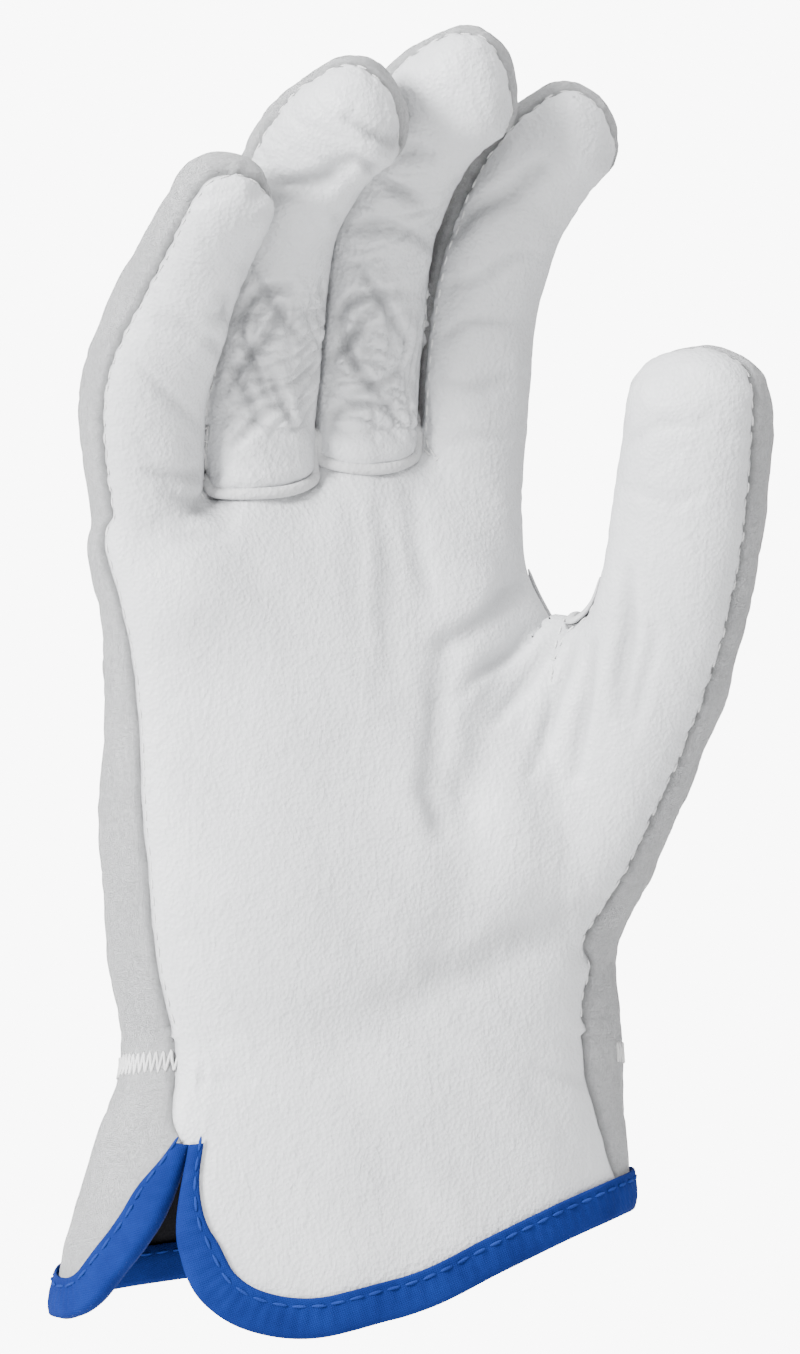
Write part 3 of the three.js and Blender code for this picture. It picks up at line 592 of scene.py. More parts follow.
def relief(data, tris, folds):
    """How far each vertex moves out along its normal, and how deep in a crease or seam groove it lies, which sets the
    painted crease shade.
    """
    p, n = data[:, X], data[:, N]
    a = math.radians(VIEW_AZIMUTH)
    across = p[:, 0] * math.cos(a) + p[:, 1] * math.sin(a)
    facing = smooth_step(0.05, 0.5, n[:, 0] * math.sin(a) - n[:, 1] * math.cos(a))
    front = smooth_step(-1.0, 1.5, data[:, SEAM])
    digit = data[:, DIGIT].round()
    on_digit = smooth_step(0.7, 0.3, data[:, PALM_NESS])
    middle_two = ((digit == 1) | (digit == 2)) * on_digit * front
    rise = soft_noise(p, 34, 3) * 0.55 + soft_noise(p, 15, 4) * 0.22 * (0.5 + on_digit)
    crease_shade = np.zeros(len(p))
    for x0, z0, x1, z1, width, depth in zip(*folds.values()):
        depth = depth * FOLD_STRENGTH
        bow = min(0.06 * np.hypot(x1 - x0, z1 - z0), 0.9) * np.sin(across * 0.33 + p[:, 2] * 0.27)
        share, t = line_share(across + bow * 0.4, p[:, 2] + bow, x0, z0, x1, z1, width)
        body, _ = line_share(across, p[:, 2], x0, z0, x1, z1, width * 2.6)
        fade = 0.35 + 0.65 * np.sin(np.pi * np.clip(t, 0.04, 0.96)) ** 0.6
        amount = share * depth * fade * facing * front
        rise += 0.45 * body * depth * fade * facing * front - amount * 1.25
        crease_shade = np.maximum(crease_shade, share * min(depth, 1.2) * fade * facing * front)
    zone = smooth_step(176, 182, p[:, 2]) * smooth_step(214, 200, p[:, 2])
    zone = np.maximum(zone, 0.55 * (digit == 2) * smooth_step(196, 205, p[:, 2]) * smooth_step(236, 224, p[:, 2]))
    crumple = ridged(p, 9.0, 11) * middle_two * zone
    rise += soft_noise(p, 8.5, 12) * 1.3 * middle_two * zone - crumple * 1.2
    crease_shade = np.maximum(crease_shade, crumple * 0.5)
    light = ridged(p, 16, 21) * front * (0.25 + 0.5 * on_digit)
    rise -= light * 0.28
    crease_shade = np.maximum(crease_shade, light * 0.35)
    suede = 1 - front
    rise += suede * (soft_noise(p, 11, 31) * 0.35 - ridged(p, 22, 32) * 0.3)
    seam = np.abs(data[:, SEAM])
    close = np.exp(-(seam / 1.0) ** 2)
    wide = np.exp(-(seam / 3.6) ** 2)
    pucker = np.cos(data[:, RUN] * 2 * np.pi / 4.6) * on_digit + 0.4 * np.cos(data[:, RUN] * 2 * np.pi / 9)
    rise += -1.0 * close - 0.5 * wide + 0.24 * pucker * np.exp(-(seam / 2.6) ** 2)
    rise *= 1 - 0.8 * np.exp(-((p - CROTCH) ** 2).sum(1) / WEB_CALM ** 2)
    for column, digit_number in ((RING_LINE, 1), (MIDDLE_LINE, 2)):
        line = np.abs(data[:, column]) + 30 * (data[:, column] < -15)
        rise -= 1.1 * np.exp(-(line / 1.4) ** 2) * front
        rise += 0.5 * np.exp(-((line - 3.5) / 2.4) ** 2) * front * (data[:, column] > 0)
        crease_shade = np.maximum(crease_shade, np.exp(-(line / 1.2) ** 2) * front)
    hem = smooth_step(3, 14, data[:, HEM_LINE])
    rise *= (0.15 + 0.85 * hem) * (1 - 0.9 * data[:, CLEFT])
    return rise, np.clip(np.maximum(crease_shade, close * 0.8), 0, 1)


def hand(step):
    """The whole glove's outer surface with its fields, made once and kept for the pieces."""
    if "hand" in CACHE:
        return CACHE["hand"]
    low = (-78.0, -78.0, -22.0)
    shape = tuple(int(size / step) for size in (160, 116, 296))
    points, tris = surface_net(low, shape, step)
    for _ in range(2):
        normals = vertex_normals(points, tris)
        points = points - normals * np.clip(hand_field(points), -1, 1)[:, None]
    normals = vertex_normals(points, tris)
    data = np.column_stack([points, normals, *part_fields(points, normals)])
    for column in (SEAM, HEM_LINE):
        size = np.clip(gradient_size(points, tris, data[:, column]), 0.25, 8)
        data[:, column] /= size
    data, tris, side, _ = split(data, tris, data[:, HEM_LINE])
    tris = tris[side > 0]
    data, tris, side, _ = split(data, tris, data[:, SEAM])
    data[:, N] /= np.linalg.norm(data[:, N], axis=1)[:, None]
    CACHE["hand"] = (data, tris, side > 0)
    return CACHE["hand"]


def refine(data, tris):
    """Each triangle in four."""
    pairs = np.concatenate([tris[:, [0, 1]], tris[:, [1, 2]], tris[:, [2, 0]]])
    key = np.sort(pairs, axis=1)
    unique, back = np.unique(key, axis=0, return_inverse=True)
    back = back.reshape(-1)
    mid = (data[unique[:, 0]] + data[unique[:, 1]]) / 2
    m = len(tris)
    e = len(data) + back
    a, b, c = tris.T
    ab, bc, ca = e[:m], e[m:2 * m], e[2 * m:]
    out = np.concatenate([np.stack(t, 1) for t in ((a, ab, ca), (ab, b, bc), (ca, bc, c), (ab, bc, ca))])
    data = np.vstack([data, mid])
    data[:, N] /= np.linalg.norm(data[:, N], axis=1)[:, None]
    return data, out


def compact(data, tris):
    used, back = np.unique(tris, return_inverse=True)
    return data[used], back.reshape(-1, 3)


def link(obj):
    bpy.context.scene.collection.objects.link(obj)
    return obj


def mesh_object(name, points, faces, materials, edges=()):
    mesh = bpy.data.meshes.new(name)
    listed = faces if isinstance(faces, list) else faces.tolist()
    mesh.from_pydata((np.asarray(points) * MM).tolist(), np.asarray(edges).tolist(), listed)
    for material in materials:
        mesh.materials.append(material)
    mesh.update()
    return link(bpy.data.objects.new(name, mesh))


def leather_shell(name, data, tris, materials):
    """A closed wall of leather: its outer face, an inner face one thickness in that takes the second material, and the
    cut edge between.
    """
    data, tris = compact(data, tris)
    rise, crease_shade = relief(data, tris, FOLDS)
    outer = data[:, X] + data[:, N] * rise[:, None]
    wall = LEATHER * (1 - 0.7 * data[:, CLEFT])
    inner = data[:, X] + data[:, N] * (np.minimum(rise, 0.4) - wall)[:, None]
    count = len(outer)
    half = np.sort(np.concatenate([tris[:, [0, 1]], tris[:, [1, 2]], tris[:, [2, 0]]]), axis=1)
    directed = np.concatenate([tris[:, [0, 1]], tris[:, [1, 2]], tris[:, [2, 0]]])
    _, index, uses = np.unique(half, axis=0, return_index=True, return_counts=True)
    rim = directed[index[uses == 1]]
    edge = np.concatenate([
        np.stack([rim[:, 1], rim[:, 0], rim[:, 0] + count], 1),
        np.stack([rim[:, 1], rim[:, 0] + count, rim[:, 1] + count], 1),
    ])
    faces = np.concatenate([tris, tris[:, ::-1] + count, edge])
    obj = mesh_object(name, np.vstack([outer, inner]), faces, materials)
    mesh = obj.data
    slots = np.zeros(len(faces), int)
    slots[len(tris):2 * len(tris)] = 1
    slots[2 * len(tris):] = 2
    mesh.polygons.foreach_set("material_index", slots)
    mesh.polygons.foreach_set("use_smooth", (slots < 2))
    for label, values in (("crease_shade", crease_shade), ("seam", np.abs(data[:, SEAM])), ("rise", rise)):
        layer = mesh.attributes.new(label, "FLOAT", "POINT")
        layer.data.foreach_set("value", np.tile(values, 2).astype(np.float32))
    mesh.update()
    return obj, data, tris, outer


# Materials


def new_material(name):
    material = bpy.data.materials.new(name)
    material.use_nodes = True
    tree = material.node_tree
    return material, tree, tree.nodes["Principled BSDF"]


def node(tree, kind, values=None, **settings):
    made = tree.nodes.new(kind)
    for key, value in settings.items():
        setattr(made, key, value)
    for key, value in (values or {}).items():
        made.inputs[key].default_value = value
    return made


def wire(tree, source, output, target, entry):
    tree.links.new(source.outputs[output], target.inputs[entry])


def noise(tree, place, scale, detail=4.0, roughness=0.55, distortion=0.0):
    made = node(tree, "ShaderNodeTexNoise", {
        "Scale": scale, "Detail": detail, "Roughness": roughness, "Distortion": distortion,
    })
    wire(tree, place, "Object" if place.bl_idname == "ShaderNodeTexCoord" else "Vector", made, "Vector")
    return made


def span(tree, source, output, low, high, to_low=0.0, to_high=1.0):
    made = node(tree, "ShaderNodeMapRange", {"From Min": low, "From Max": high, "To Min": to_low, "To Max": to_high})
    wire(tree, source, output, made, "Value")
    return made


def blend(tree, share, output, first, second, mode="MIX"):
    """Colour mix. first and second are colours or (node, output) pairs."""
    made = node(tree, "ShaderNodeMix", data_type="RGBA", blend_type=mode)
    if share is None:
        made.inputs[0].default_value = output
    else:
        tree.links.new(share.outputs[output], made.inputs[0])
    for slot, value in ((6, first), (7, second)):
        if isinstance(value, tuple) and hasattr(value[0], "outputs"):
            tree.links.new(value[0].outputs[value[1]], made.inputs[slot])
        else:
            made.inputs[slot].default_value = (*value, 1)
    return made


def bump(tree, source, output, strength, distance, before=None):
    made = node(tree, "ShaderNodeBump", {"Strength": strength, "Distance": distance})
    wire(tree, source, output, made, "Height")
    if before is not None:
        wire(tree, before, "Normal", made, "Normal")
    return made


def grain_material(name, base, shade, roughness):
    """Smooth leather: fine pebble, hairline wrinkles, and painted shade that makes creases and seam grooves a little
    darker.
    """
    material, tree, shader = new_material(name)
    place = node(tree, "ShaderNodeTexCoord")
    crease_shade = node(tree, "ShaderNodeAttribute", attribute_name="crease_shade")
    mottle = noise(tree, place, 34.0, 5.0, 0.6)
    fine = noise(tree, place, 520.0, 3.0)
    tone = span(tree, mottle, "Fac", 0.3, 0.7)
    colour = blend(tree, tone, "Result", shade, base)
    speck = span(tree, fine, "Fac", 0.3, 0.75, 0.0, 0.16)
    colour = blend(tree, speck, "Result", (colour, 2), shade)
    # painted shade: base colour darkened in creases and seam grooves
    dark = span(tree, crease_shade, "Fac", 0.25, 1.0, 0.0, 0.5)
    colour = blend(tree, dark, "Result", (colour, 2), tuple(v * 0.55 for v in shade))
    wire(tree, colour, 2, shader, "Base Color")
    rough = span(tree, mottle, "Fac", 0.25, 0.75, roughness - 0.07, roughness + 0.1)
    wire(tree, rough, "Result", shader, "Roughness")
    shader.inputs["Specular IOR Level"].default_value = 0.4
    pebble = node(tree, "ShaderNodeTexVoronoi", {"Scale": 1150.0, "Randomness": 1.0}, feature="F1")
    wire(tree, place, "Object", pebble, "Vector")
    stretch = node(tree, "ShaderNodeMapping", {"Scale": (3.2, 3.2, 1.0), "Rotation": (0.0, 0.35, 0.0)})
    wire(tree, place, "Object", stretch, "Vector")
    hair = noise(tree, stretch, 105.0, 6.0, 0.62, 0.9)
    lines = span(tree, hair, "Fac", 0.46, 0.56)
    soft = noise(tree, place, 210.0, 4.0, 0.6, 0.4)
    first = bump(tree, pebble, "Distance", 0.4, 0.0004)
    second = bump(tree, lines, "Result", 0.2, 0.0005, first)
    third = bump(tree, soft, "Fac", 0.3, 0.0013, second)
    wire(tree, third, "Normal", shader, "Normal")
    return material


def suede_material(name, base, shade):
    """Split suede: fibrous nap with soft dark and light patches, and painted shade darkening it towards the seam
    groove.
    """
    material, tree, shader = new_material(name)
    place = node(tree, "ShaderNodeTexCoord")
    seam = node(tree, "ShaderNodeAttribute", attribute_name="seam")
    brushed = noise(tree, place, 60.0, 6.0, 0.65)
    nap = noise(tree, place, 900.0, 6.0, 0.75, 1.4)
    fibre = noise(tree, place, 2300.0, 4.0, 0.7, 2.2)
    tone = span(tree, brushed, "Fac", 0.32, 0.68)
    colour = blend(tree, tone, "Result", shade, base)
    dark = span(tree, nap, "Fac", 0.38, 0.6, 0.75, 0.0)
    colour = blend(tree, dark, "Result", (colour, 2), tuple(v * 0.7 for v in shade))
    # painted shade: the suede darkens towards the seam groove
    line = span(tree, seam, "Fac", 0.2, 1.3, 0.6, 0.0)
    colour = blend(tree, line, "Result", (colour, 2), tuple(v * 0.4 for v in shade))
    wire(tree, colour, 2, shader, "Base Color")
    shader.inputs["Roughness"].default_value = 0.95
    shader.inputs["Specular IOR Level"].default_value = 0.12
    shader.inputs["Sheen Weight"].default_value = 0.25
    shader.inputs["Sheen Roughness"].default_value = 0.5
    first = bump(tree, nap, "Fac", 1.0, 0.0026)
    second = bump(tree, fibre, "Fac", 0.8, 0.001, first)
    wire(tree, second, "Normal", shader, "Normal")
    return material


def cloth_material(name, base, shade):
    """Woven tape: fine crossing threads."""
    material, tree, shader = new_material(name)
    place = node(tree, "ShaderNodeTexCoord")
    turned = node(tree, "ShaderNodeMapping", {"Rotation": (0.0, 0.35, 0.5)})
    wire(tree, place, "Object", turned, "Vector")
    warp = node(tree, "ShaderNodeTexWave", {"Scale": 760.0, "Distortion": 0.8, "Detail": 1.0}, bands_direction="X")
    weft = node(tree, "ShaderNodeTexWave", {"Scale": 760.0, "Distortion": 0.8, "Detail": 1.0}, bands_direction="Z")
    wire(tree, turned, "Vector", warp, "Vector")
    wire(tree, turned, "Vector", weft, "Vector")
    weave = node(tree, "ShaderNodeMath", operation="MULTIPLY")
    wire(tree, warp, "Fac", weave, 0)
    wire(tree, weft, "Fac", weave, 1)
    patch = noise(tree, place, 130.0, 5.0, 0.6)
    tone = span(tree, patch, "Fac", 0.3, 0.7)
    colour = blend(tree, tone, "Result", shade, base)
    thread = span(tree, weave, "Value", 0.0, 0.5, 0.22, 0.0)
    colour = blend(tree, thread, "Result", (colour, 2), tuple(v * 0.6 for v in shade))
    wire(tree, colour, 2, shader, "Base Color")
    shader.inputs["Roughness"].default_value = 0.9
    shader.inputs["Specular IOR Level"].default_value = 0.05
    first = bump(tree, weave, "Value", 0.4, 0.0003)
    second = bump(tree, patch, "Fac", 0.35, 0.001, first)
    wire(tree, second, "Normal", shader, "Normal")
    return material


# Near-black painted shade for the glove's inner faces: the inside is unlined leather, darkened to stand for the shade
# inside it
def inside_shade_material(name, base):
    material, tree, shader = new_material(name)
    place = node(tree, "ShaderNodeTexCoord")
    patch = noise(tree, place, 300.0, 5.0, 0.7)
    tone = span(tree, patch, "Fac", 0.3, 0.7)
    colour = blend(tree, tone, "Result", tuple(v * 0.7 for v in base), base)
    wire(tree, colour, 2, shader, "Base Color")
    shader.inputs["Roughness"].default_value = 0.95
    shader.inputs["Specular IOR Level"].default_value = 0.1
    wire(tree, bump(tree, patch, "Fac", 0.5, 0.0008), "Normal", shader, "Normal")
    return material


def materials():
    if "materials" not in CACHE:
        CACHE["materials"] = {
            "grain": grain_material("Grain leather", (0.5, 0.507, 0.52), (0.44, 0.447, 0.46), 0.46),
            "suede": suede_material("Split suede", (0.6, 0.605, 0.615), (0.5, 0.506, 0.517)),
            "welt": grain_material("Welt leather", (0.46, 0.463, 0.47), (0.38, 0.383, 0.39), 0.55),
            "edge": suede_material("Cut edge", (0.42, 0.42, 0.41), (0.3, 0.3, 0.29)),
            # inner faces: near-black painted shade of the glove's inside
            "painted_inside_shade": inside_shade_material("Inside painted shade", (0.008, 0.008, 0.01)),
            "tape": cloth_material("Blue tape", (0.006, 0.019, 0.125), (0.004, 0.012, 0.085)),
            "blue_thread": cloth_material("Blue thread", (0.012, 0.035, 0.19), (0.007, 0.02, 0.12)),
            "thread": cloth_material("White thread", (0.66, 0.66, 0.66), (0.45, 0.45, 0.45)),
        }
    return CACHE["materials"]


# Stitches by geometry nodes


def socket(group, name, kind, default=None, out=False):
    made = group.interface.new_socket(name=name, in_out="OUTPUT" if out else "INPUT", socket_type=kind)
    if default is not None:
        made.default_value = default
    return made


def stitch_group():
    """Short threads laid end to end along edges that are joined into lines."""
    if "stitch_group" in CACHE:
        return CACHE["stitch_group"]
    group = bpy.data.node_groups.new("Stitch row", "GeometryNodeTree")
    socket(group, "Geometry", "NodeSocketGeometry")
    names = {}
    for name, default in (("Pitch", 0.004), ("Length", 0.0024), ("Thickness", 0.0003), ("Spread", 0.06)):
        names[name] = socket(group, name, "NodeSocketFloat", default).identifier
    names["Material"] = socket(group, "Material", "NodeSocketMaterial").identifier
    socket(group, "Geometry", "NodeSocketGeometry", out=True)
    entry, leave = node(group, "NodeGroupInput"), node(group, "NodeGroupOutput")
    curve = node(group, "GeometryNodeMeshToCurve")
    wire(group, entry, "Geometry", curve, 0)
    points = node(group, "GeometryNodeResampleCurve")
    points.mode = "LENGTH"
    wire(group, curve, 0, points, "Curve")
    wire(group, entry, "Pitch", points, "Length")
    tangent = node(group, "GeometryNodeInputTangent")
    align = node(group, "FunctionNodeAlignRotationToVector")
    align.axis = "Z"
    wire(group, tangent, 0, align, "Vector")
    jitter = node(group, "FunctionNodeRandomValue")
    jitter.data_type = "FLOAT_VECTOR"
    wire(group, entry, "Spread", jitter, "Max")
    negative = node(group, "ShaderNodeMath", {1: -1.0}, operation="MULTIPLY")
    wire(group, entry, "Spread", negative, 0)
    wire(group, negative, 0, jitter, "Min")
    jitter.inputs["Seed"].default_value = 7
    turn = node(group, "FunctionNodeRotateRotation")
    wire(group, align, 0, turn, 0)
    wire(group, jitter, 0, turn, 1)
    body = node(group, "GeometryNodeMeshUVSphere", {"Segments": 8, "Rings": 6, "Radius": 1.0})
    half = node(group, "ShaderNodeMath", {1: 0.5}, operation="MULTIPLY")
    wire(group, entry, "Length", half, 0)
    size = node(group, "ShaderNodeCombineXYZ")
    wire(group, entry, "Thickness", size, "X")
    wire(group, entry, "Thickness", size, "Y")
    wire(group, half, 0, size, "Z")
    place = node(group, "GeometryNodeInstanceOnPoints")
    wire(group, points, 0, place, "Points")
    wire(group, body, 0, place, "Instance")
    wire(group, turn, 0, place, "Rotation")
    wire(group, size, 0, place, "Scale")
    real = node(group, "GeometryNodeRealizeInstances")
    wire(group, place, 0, real, 0)
    finish = node(group, "GeometryNodeSetMaterial")
    wire(group, real, 0, finish, 0)
    wire(group, entry, "Material", finish, "Material")
    wire(group, finish, 0, leave, 0)
    CACHE["stitch_group"] = (group, names)
    return CACHE["stitch_group"]


def thread_group():
    """A round thread along edges that are joined into lines."""
    if "thread_group" in CACHE:
        return CACHE["thread_group"]
    group = bpy.data.node_groups.new("Thread line", "GeometryNodeTree")
    socket(group, "Geometry", "NodeSocketGeometry")
    names = {"Thickness": socket(group, "Thickness", "NodeSocketFloat", 0.0004).identifier}
    names["Material"] = socket(group, "Material", "NodeSocketMaterial").identifier
    socket(group, "Geometry", "NodeSocketGeometry", out=True)
    entry, leave = node(group, "NodeGroupInput"), node(group, "NodeGroupOutput")
    curve = node(group, "GeometryNodeMeshToCurve")
    wire(group, entry, "Geometry", curve, 0)
    circle = node(group, "GeometryNodeCurvePrimitiveCircle", {"Resolution": 8})
    wire(group, entry, "Thickness", circle, "Radius")
    tube = node(group, "GeometryNodeCurveToMesh", {"Fill Caps": True})
    wire(group, curve, 0, tube, "Curve")
    wire(group, circle, 0, tube, "Profile Curve")
    real = node(group, "GeometryNodeRealizeInstances")
    wire(group, tube, 0, real, 0)
    finish = node(group, "GeometryNodeSetMaterial")
    wire(group, real, 0, finish, 0)
    wire(group, entry, "Material", finish, "Material")
    wire(group, finish, 0, leave, 0)
    CACHE["thread_group"] = (group, names)
    return CACHE["thread_group"]


def grow(name, points, edges, built, values, material):
    """A node group run on lines and turned to a plain mesh."""
    group, names = built
    lines = mesh_object(name + "_lines", points, [], [], edges)
    modifier = lines.modifiers.new("Build", "NODES")
    modifier.node_group = group
    for key, value in values.items():
        modifier[names[key]] = value
    modifier[names["Material"]] = material
    bpy.context.view_layer.update()
    depsgraph = bpy.context.evaluated_depsgraph_get()
    mesh = bpy.data.meshes.new_from_object(lines.evaluated_get(depsgraph), depsgraph=depsgraph)
    bpy.data.objects.remove(lines)
    if not len(mesh.polygons):
        raise RuntimeError(name + " came out empty")
    mesh.name = name
    for polygon in mesh.polygons:
        polygon.use_smooth = True
    return link(bpy.data.objects.new(name, mesh))


def finish_piece(obj, nodes):
    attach(obj, "root")
    if nodes:
        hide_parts(*nodes)


def chain(edges):
    """Edge pairs as ordered rows of point numbers."""
    joined = {}
    for a, b in edges.tolist():
        joined.setdefault(a, []).append(b)
        joined.setdefault(b, []).append(a)
    rows, seen = [], set()
    for start in sorted(joined, key=lambda i: len(joined[i])):
        if start in seen:
            continue
        row = [start]
        seen.add(start)
        while True:
            following = [i for i in joined[row[-1]] if i not in seen]
            if not following:
                break
            row.append(following[0])
            seen.add(following[0])
        rows.append(row)
    return sorted(rows, key=len, reverse=True)


def sweep(points, outward, profile, closed=False):
    """A closed section carried along a row of points. profile rows are (across, out)."""
    points = np.asarray(points)
    along = np.gradient(points, axis=0)
    along /= np.linalg.norm(along, axis=1)[:, None]
    out = outward - along * (outward * along).sum(1)[:, None]
    out /= np.linalg.norm(out, axis=1)[:, None]
    across = np.cross(along, out)
    rings = points[:, None] + across[:, None] * profile[..., 0:1] + out[:, None] * profile[..., 1:2]
    count, sides = rings.shape[:2]
    k = np.arange((count - 1) * sides)
    i, j = k // sides, k % sides
    a, b = i * sides + j, i * sides + (j + 1) % sides
    faces = np.stack([a, b, b + sides, a + sides], 1).tolist()
    faces.append(list(range(sides))[::-1])
    faces.append(list(range((count - 1) * sides, count * sides)))
    return rings.reshape(-1, 3), faces


def resample(points, step, values=None):
    length = np.concatenate([[0], np.cumsum(np.linalg.norm(np.diff(points, axis=0), axis=1))])
    at = np.linspace(0, length[-1], max(int(length[-1] / step), 4))
    return np.stack([np.interp(at, length, points[:, i]) for i in range(points.shape[1])], 1)


def smooth_row(points, rounds):
    for _ in range(rounds):
        points = np.vstack([points[:1], (points[:-2] + 2 * points[1:-1] + points[2:]) / 4, points[-1:]])
    return points


# Tape round the cuff


def palm_point(angle, height, outset):
    """Points of the palm's surface at these angles and heights."""
    angle, height = np.broadcast_arrays(np.asarray(angle, float), np.asarray(height, float))
    row = read(PALM, "up", height / PALM_LENGTH)
    turn = np.radians(angle)
    power = 2 / SECTION_POWER
    u = np.sign(np.sin(turn)) * np.abs(np.sin(turn)) ** power
    v = np.sign(np.cos(turn)) * np.abs(np.cos(turn)) ** power
    depth = np.where(np.cos(turn) > 0, row["front"], row["back"]) * PALM_DEPTH
    half = row["half"] * PALM_WIDTH
    centre = row["across"] * PALM_WIDTH
    out = outset + palm_fold(angle, centre + u * half, height)
    return np.stack([centre + u * (half + out), -v * (depth + out), height], -1)


def hem_path(step):
    """Angle and height of the hem from one side of the slit round to the other, in even steps."""
    peak = HEM["angle"][HEM["slit"].argmax()]
    angle = np.concatenate([np.linspace(peak + 1.5, 180, 2000), np.linspace(-180, peak - 1.6, 1600)[1:]])
    row = read(HEM, "angle", angle)
    height = row["up"] * PALM_LENGTH + row["slit"] * SLIT_LENGTH
    points = palm_point(angle, height, 0)
    unrolled = np.where(angle < peak, angle + 360, angle)
    rows = resample(np.column_stack([points, unrolled, height]), step)
    return rows[:, 3], rows[:, 4]


def tape_rows(step):
    """Where the tape runs, which way is inward over the leather, and how wide it shows."""
    angle, height = hem_path(step)
    here = palm_point(angle, height, 0)
    reach = np.linalg.norm(palm_point(angle + 1, height, 0) - palm_point(angle - 1, height, 0), axis=1) / 2
    run = np.gradient(angle) * reach
    rise = np.gradient(height)
    size = np.hypot(run, rise)
    run, rise = smooth_row(np.column_stack([run / size, rise / size]), 6).T
    width = np.ones(len(angle))
    first, last = height[0] - height, height[-1] - height
    half = len(angle) // 2
    start = np.arange(len(angle)) < half
    low_first = np.maximum.accumulate(np.where(start, first, 1e9))
    low_last = np.maximum.accumulate(np.where(start, 1e9, last)[::-1])[::-1]
    width = np.where(start, low_first / PALM_FLAP_TAPER, low_last / BACK_FLAP_TAPER)
    width = smooth_row(np.clip(width, 0.28, 1)[:, None], 30)[:, 0]
    return angle, height, reach, run, rise, width


def tape_points(rows, inward, outset):
    """Points on the tape: inward from the hem along the leather, out from its outer face."""
    angle, height, reach, run, rise, _ = rows
    return palm_point(angle - rise * inward / reach, height + run * inward, outset)


def build_tape(width):
    rows = tape_rows(1.1)
    share = rows[5]
    ripple = 0.12 * np.sin(np.arange(len(share)) * 1.1 * 2 * np.pi / 4.0)
    clear, thick = TAPE_CLEARANCE, TAPE_THICKNESS
    outer, inner = clear + thick, -LEATHER - clear - thick
    section = [
        (1, clear + 0.1), (1, outer - 0.15), (0.93, outer + 0.02), (0.8, outer - 0.12), (0.7, outer),
        (0.45, outer + 0.12), (0.2, outer + 0.08), (0.03, outer), (-0.12, outer - 0.35),
        (-0.17, -LEATHER / 2), (-0.12, inner + 0.35), (0.03, inner), (0.5, inner), (1, inner),
        (1, inner + thick), (0.5, inner + thick), (-0.04, inner + thick),
        (-0.07, -LEATHER / 2), (-0.04, clear), (0.5, clear),
    ]
    rings = []
    for inward, outset in section:
        reach = inward * width * np.where(inward > 0, share, 1)
        puffed = outset + (ripple if 0.1 < inward < 0.9 and outset > clear else 0)
        rings.append(tape_points(rows, reach, puffed))
    rings = np.stack(rings, 1)
    count, sides = rings.shape[:2]
    k = np.arange((count - 1) * sides)
    i, j = k // sides, k % sides
    a, b = i * sides + j, i * sides + (j + 1) % sides
    faces = np.stack([a, a + sides, b + sides, b], 1).tolist()
    faces.append(list(range(sides)))
    faces.append(list(range((count - 1) * sides, count * sides))[::-1])
    tape = mesh_object("Cuff_binding", rings.reshape(-1, 3), faces, [materials()["tape"]])
    for polygon in tape.data.polygons:
        polygon.use_smooth = len(polygon.vertices) == 4
    finish_piece(tape, ["cuff_binding"])
    for side, outset in (("outer", outer + 0.02), ("inner", inner - 0.02)):
        line = tape_points(rows, 0.77 * width * share, outset)
        edges = np.stack([np.arange(len(line) - 1), np.arange(1, len(line))], 1)
        values = {"Pitch": 0.004, "Length": 0.0031, "Thickness": 0.00034}
        row = grow("Tape_stitches_" + side, line, edges, stitch_group(), values, materials()["blue_thread"])
        finish_piece(row, [])


# Operators


class GloveSettings(bpy.types.PropertyGroup):
    """What can be set before the glove is built."""
    cell: bpy.props.FloatProperty(
        name="Cell", description="Size of the leather's mesh cells", default=0.0012, unit="LENGTH")
    tape_width: bpy.props.FloatProperty(
        name="Tape width", description="Width of the tape on each side of the hem", default=0.007, unit="LENGTH")
    stitch_pitch: bpy.props.FloatProperty(
        name="Stitch pitch", description="Distance between seam stitches", default=0.0034, unit="LENGTH")
    camera_distance: bpy.props.FloatProperty(
        name="Camera distance", description="From the camera to the glove", default=1.5, unit="LENGTH")


class GLOVE_OT_leather(bpy.types.Operator):
    """Build the four leather panels with their seams and folds"""
    bl_idname = "glove.leather"
    bl_label = "Build leather panels"

    def execute(self, context):
        settings = context.scene.glove
        made = materials()
        data, tris, front = hand(settings.cell / MM)
        front_tris, back_tris = tris[front], tris[~front]
        pieces = {}
        for name, column in (("Ring_front", RING_LINE), ("Middle_front", MIDDLE_LINE)):
            data, front_tris, side, _ = split(data, front_tris, data[:, column])
            pieces[name] = front_tris[side > 0]
            front_tris = front_tris[side <= 0]
        CACHE["data"] = data
        CACHE["pieces"] = {"Palm_panel": front_tris, **pieces, "Back_panel": back_tris}
        finish = {
            "Palm_panel": (PALM_NODES, "grain", "grain_leather"),
            "Ring_front": (["ring_finger_front"], "grain", "grain_leather"),
            "Middle_front": (["middle_finger_front"], "grain", "grain_leather"),
            "Back_panel": (BACK_NODES, "suede", "suede"),
        }
        for name, part in CACHE["pieces"].items():
            part_data, part_tris = compact(data, part)
            if name in ("Ring_front", "Middle_front"):
                part_data, part_tris = refine(part_data, part_tris)
            nodes, look, slot = finish[name]
            # the second slot gives the inner faces their near-black painted shade
            look_set = [made[look], made["painted_inside_shade"], made["edge"]]
            obj, used, used_tris, outer = leather_shell(name, part_data, part_tris, look_set)
            CACHE[name] = (used, used_tris, outer)
            finish_piece(obj, nodes)
        return {"FINISHED"}


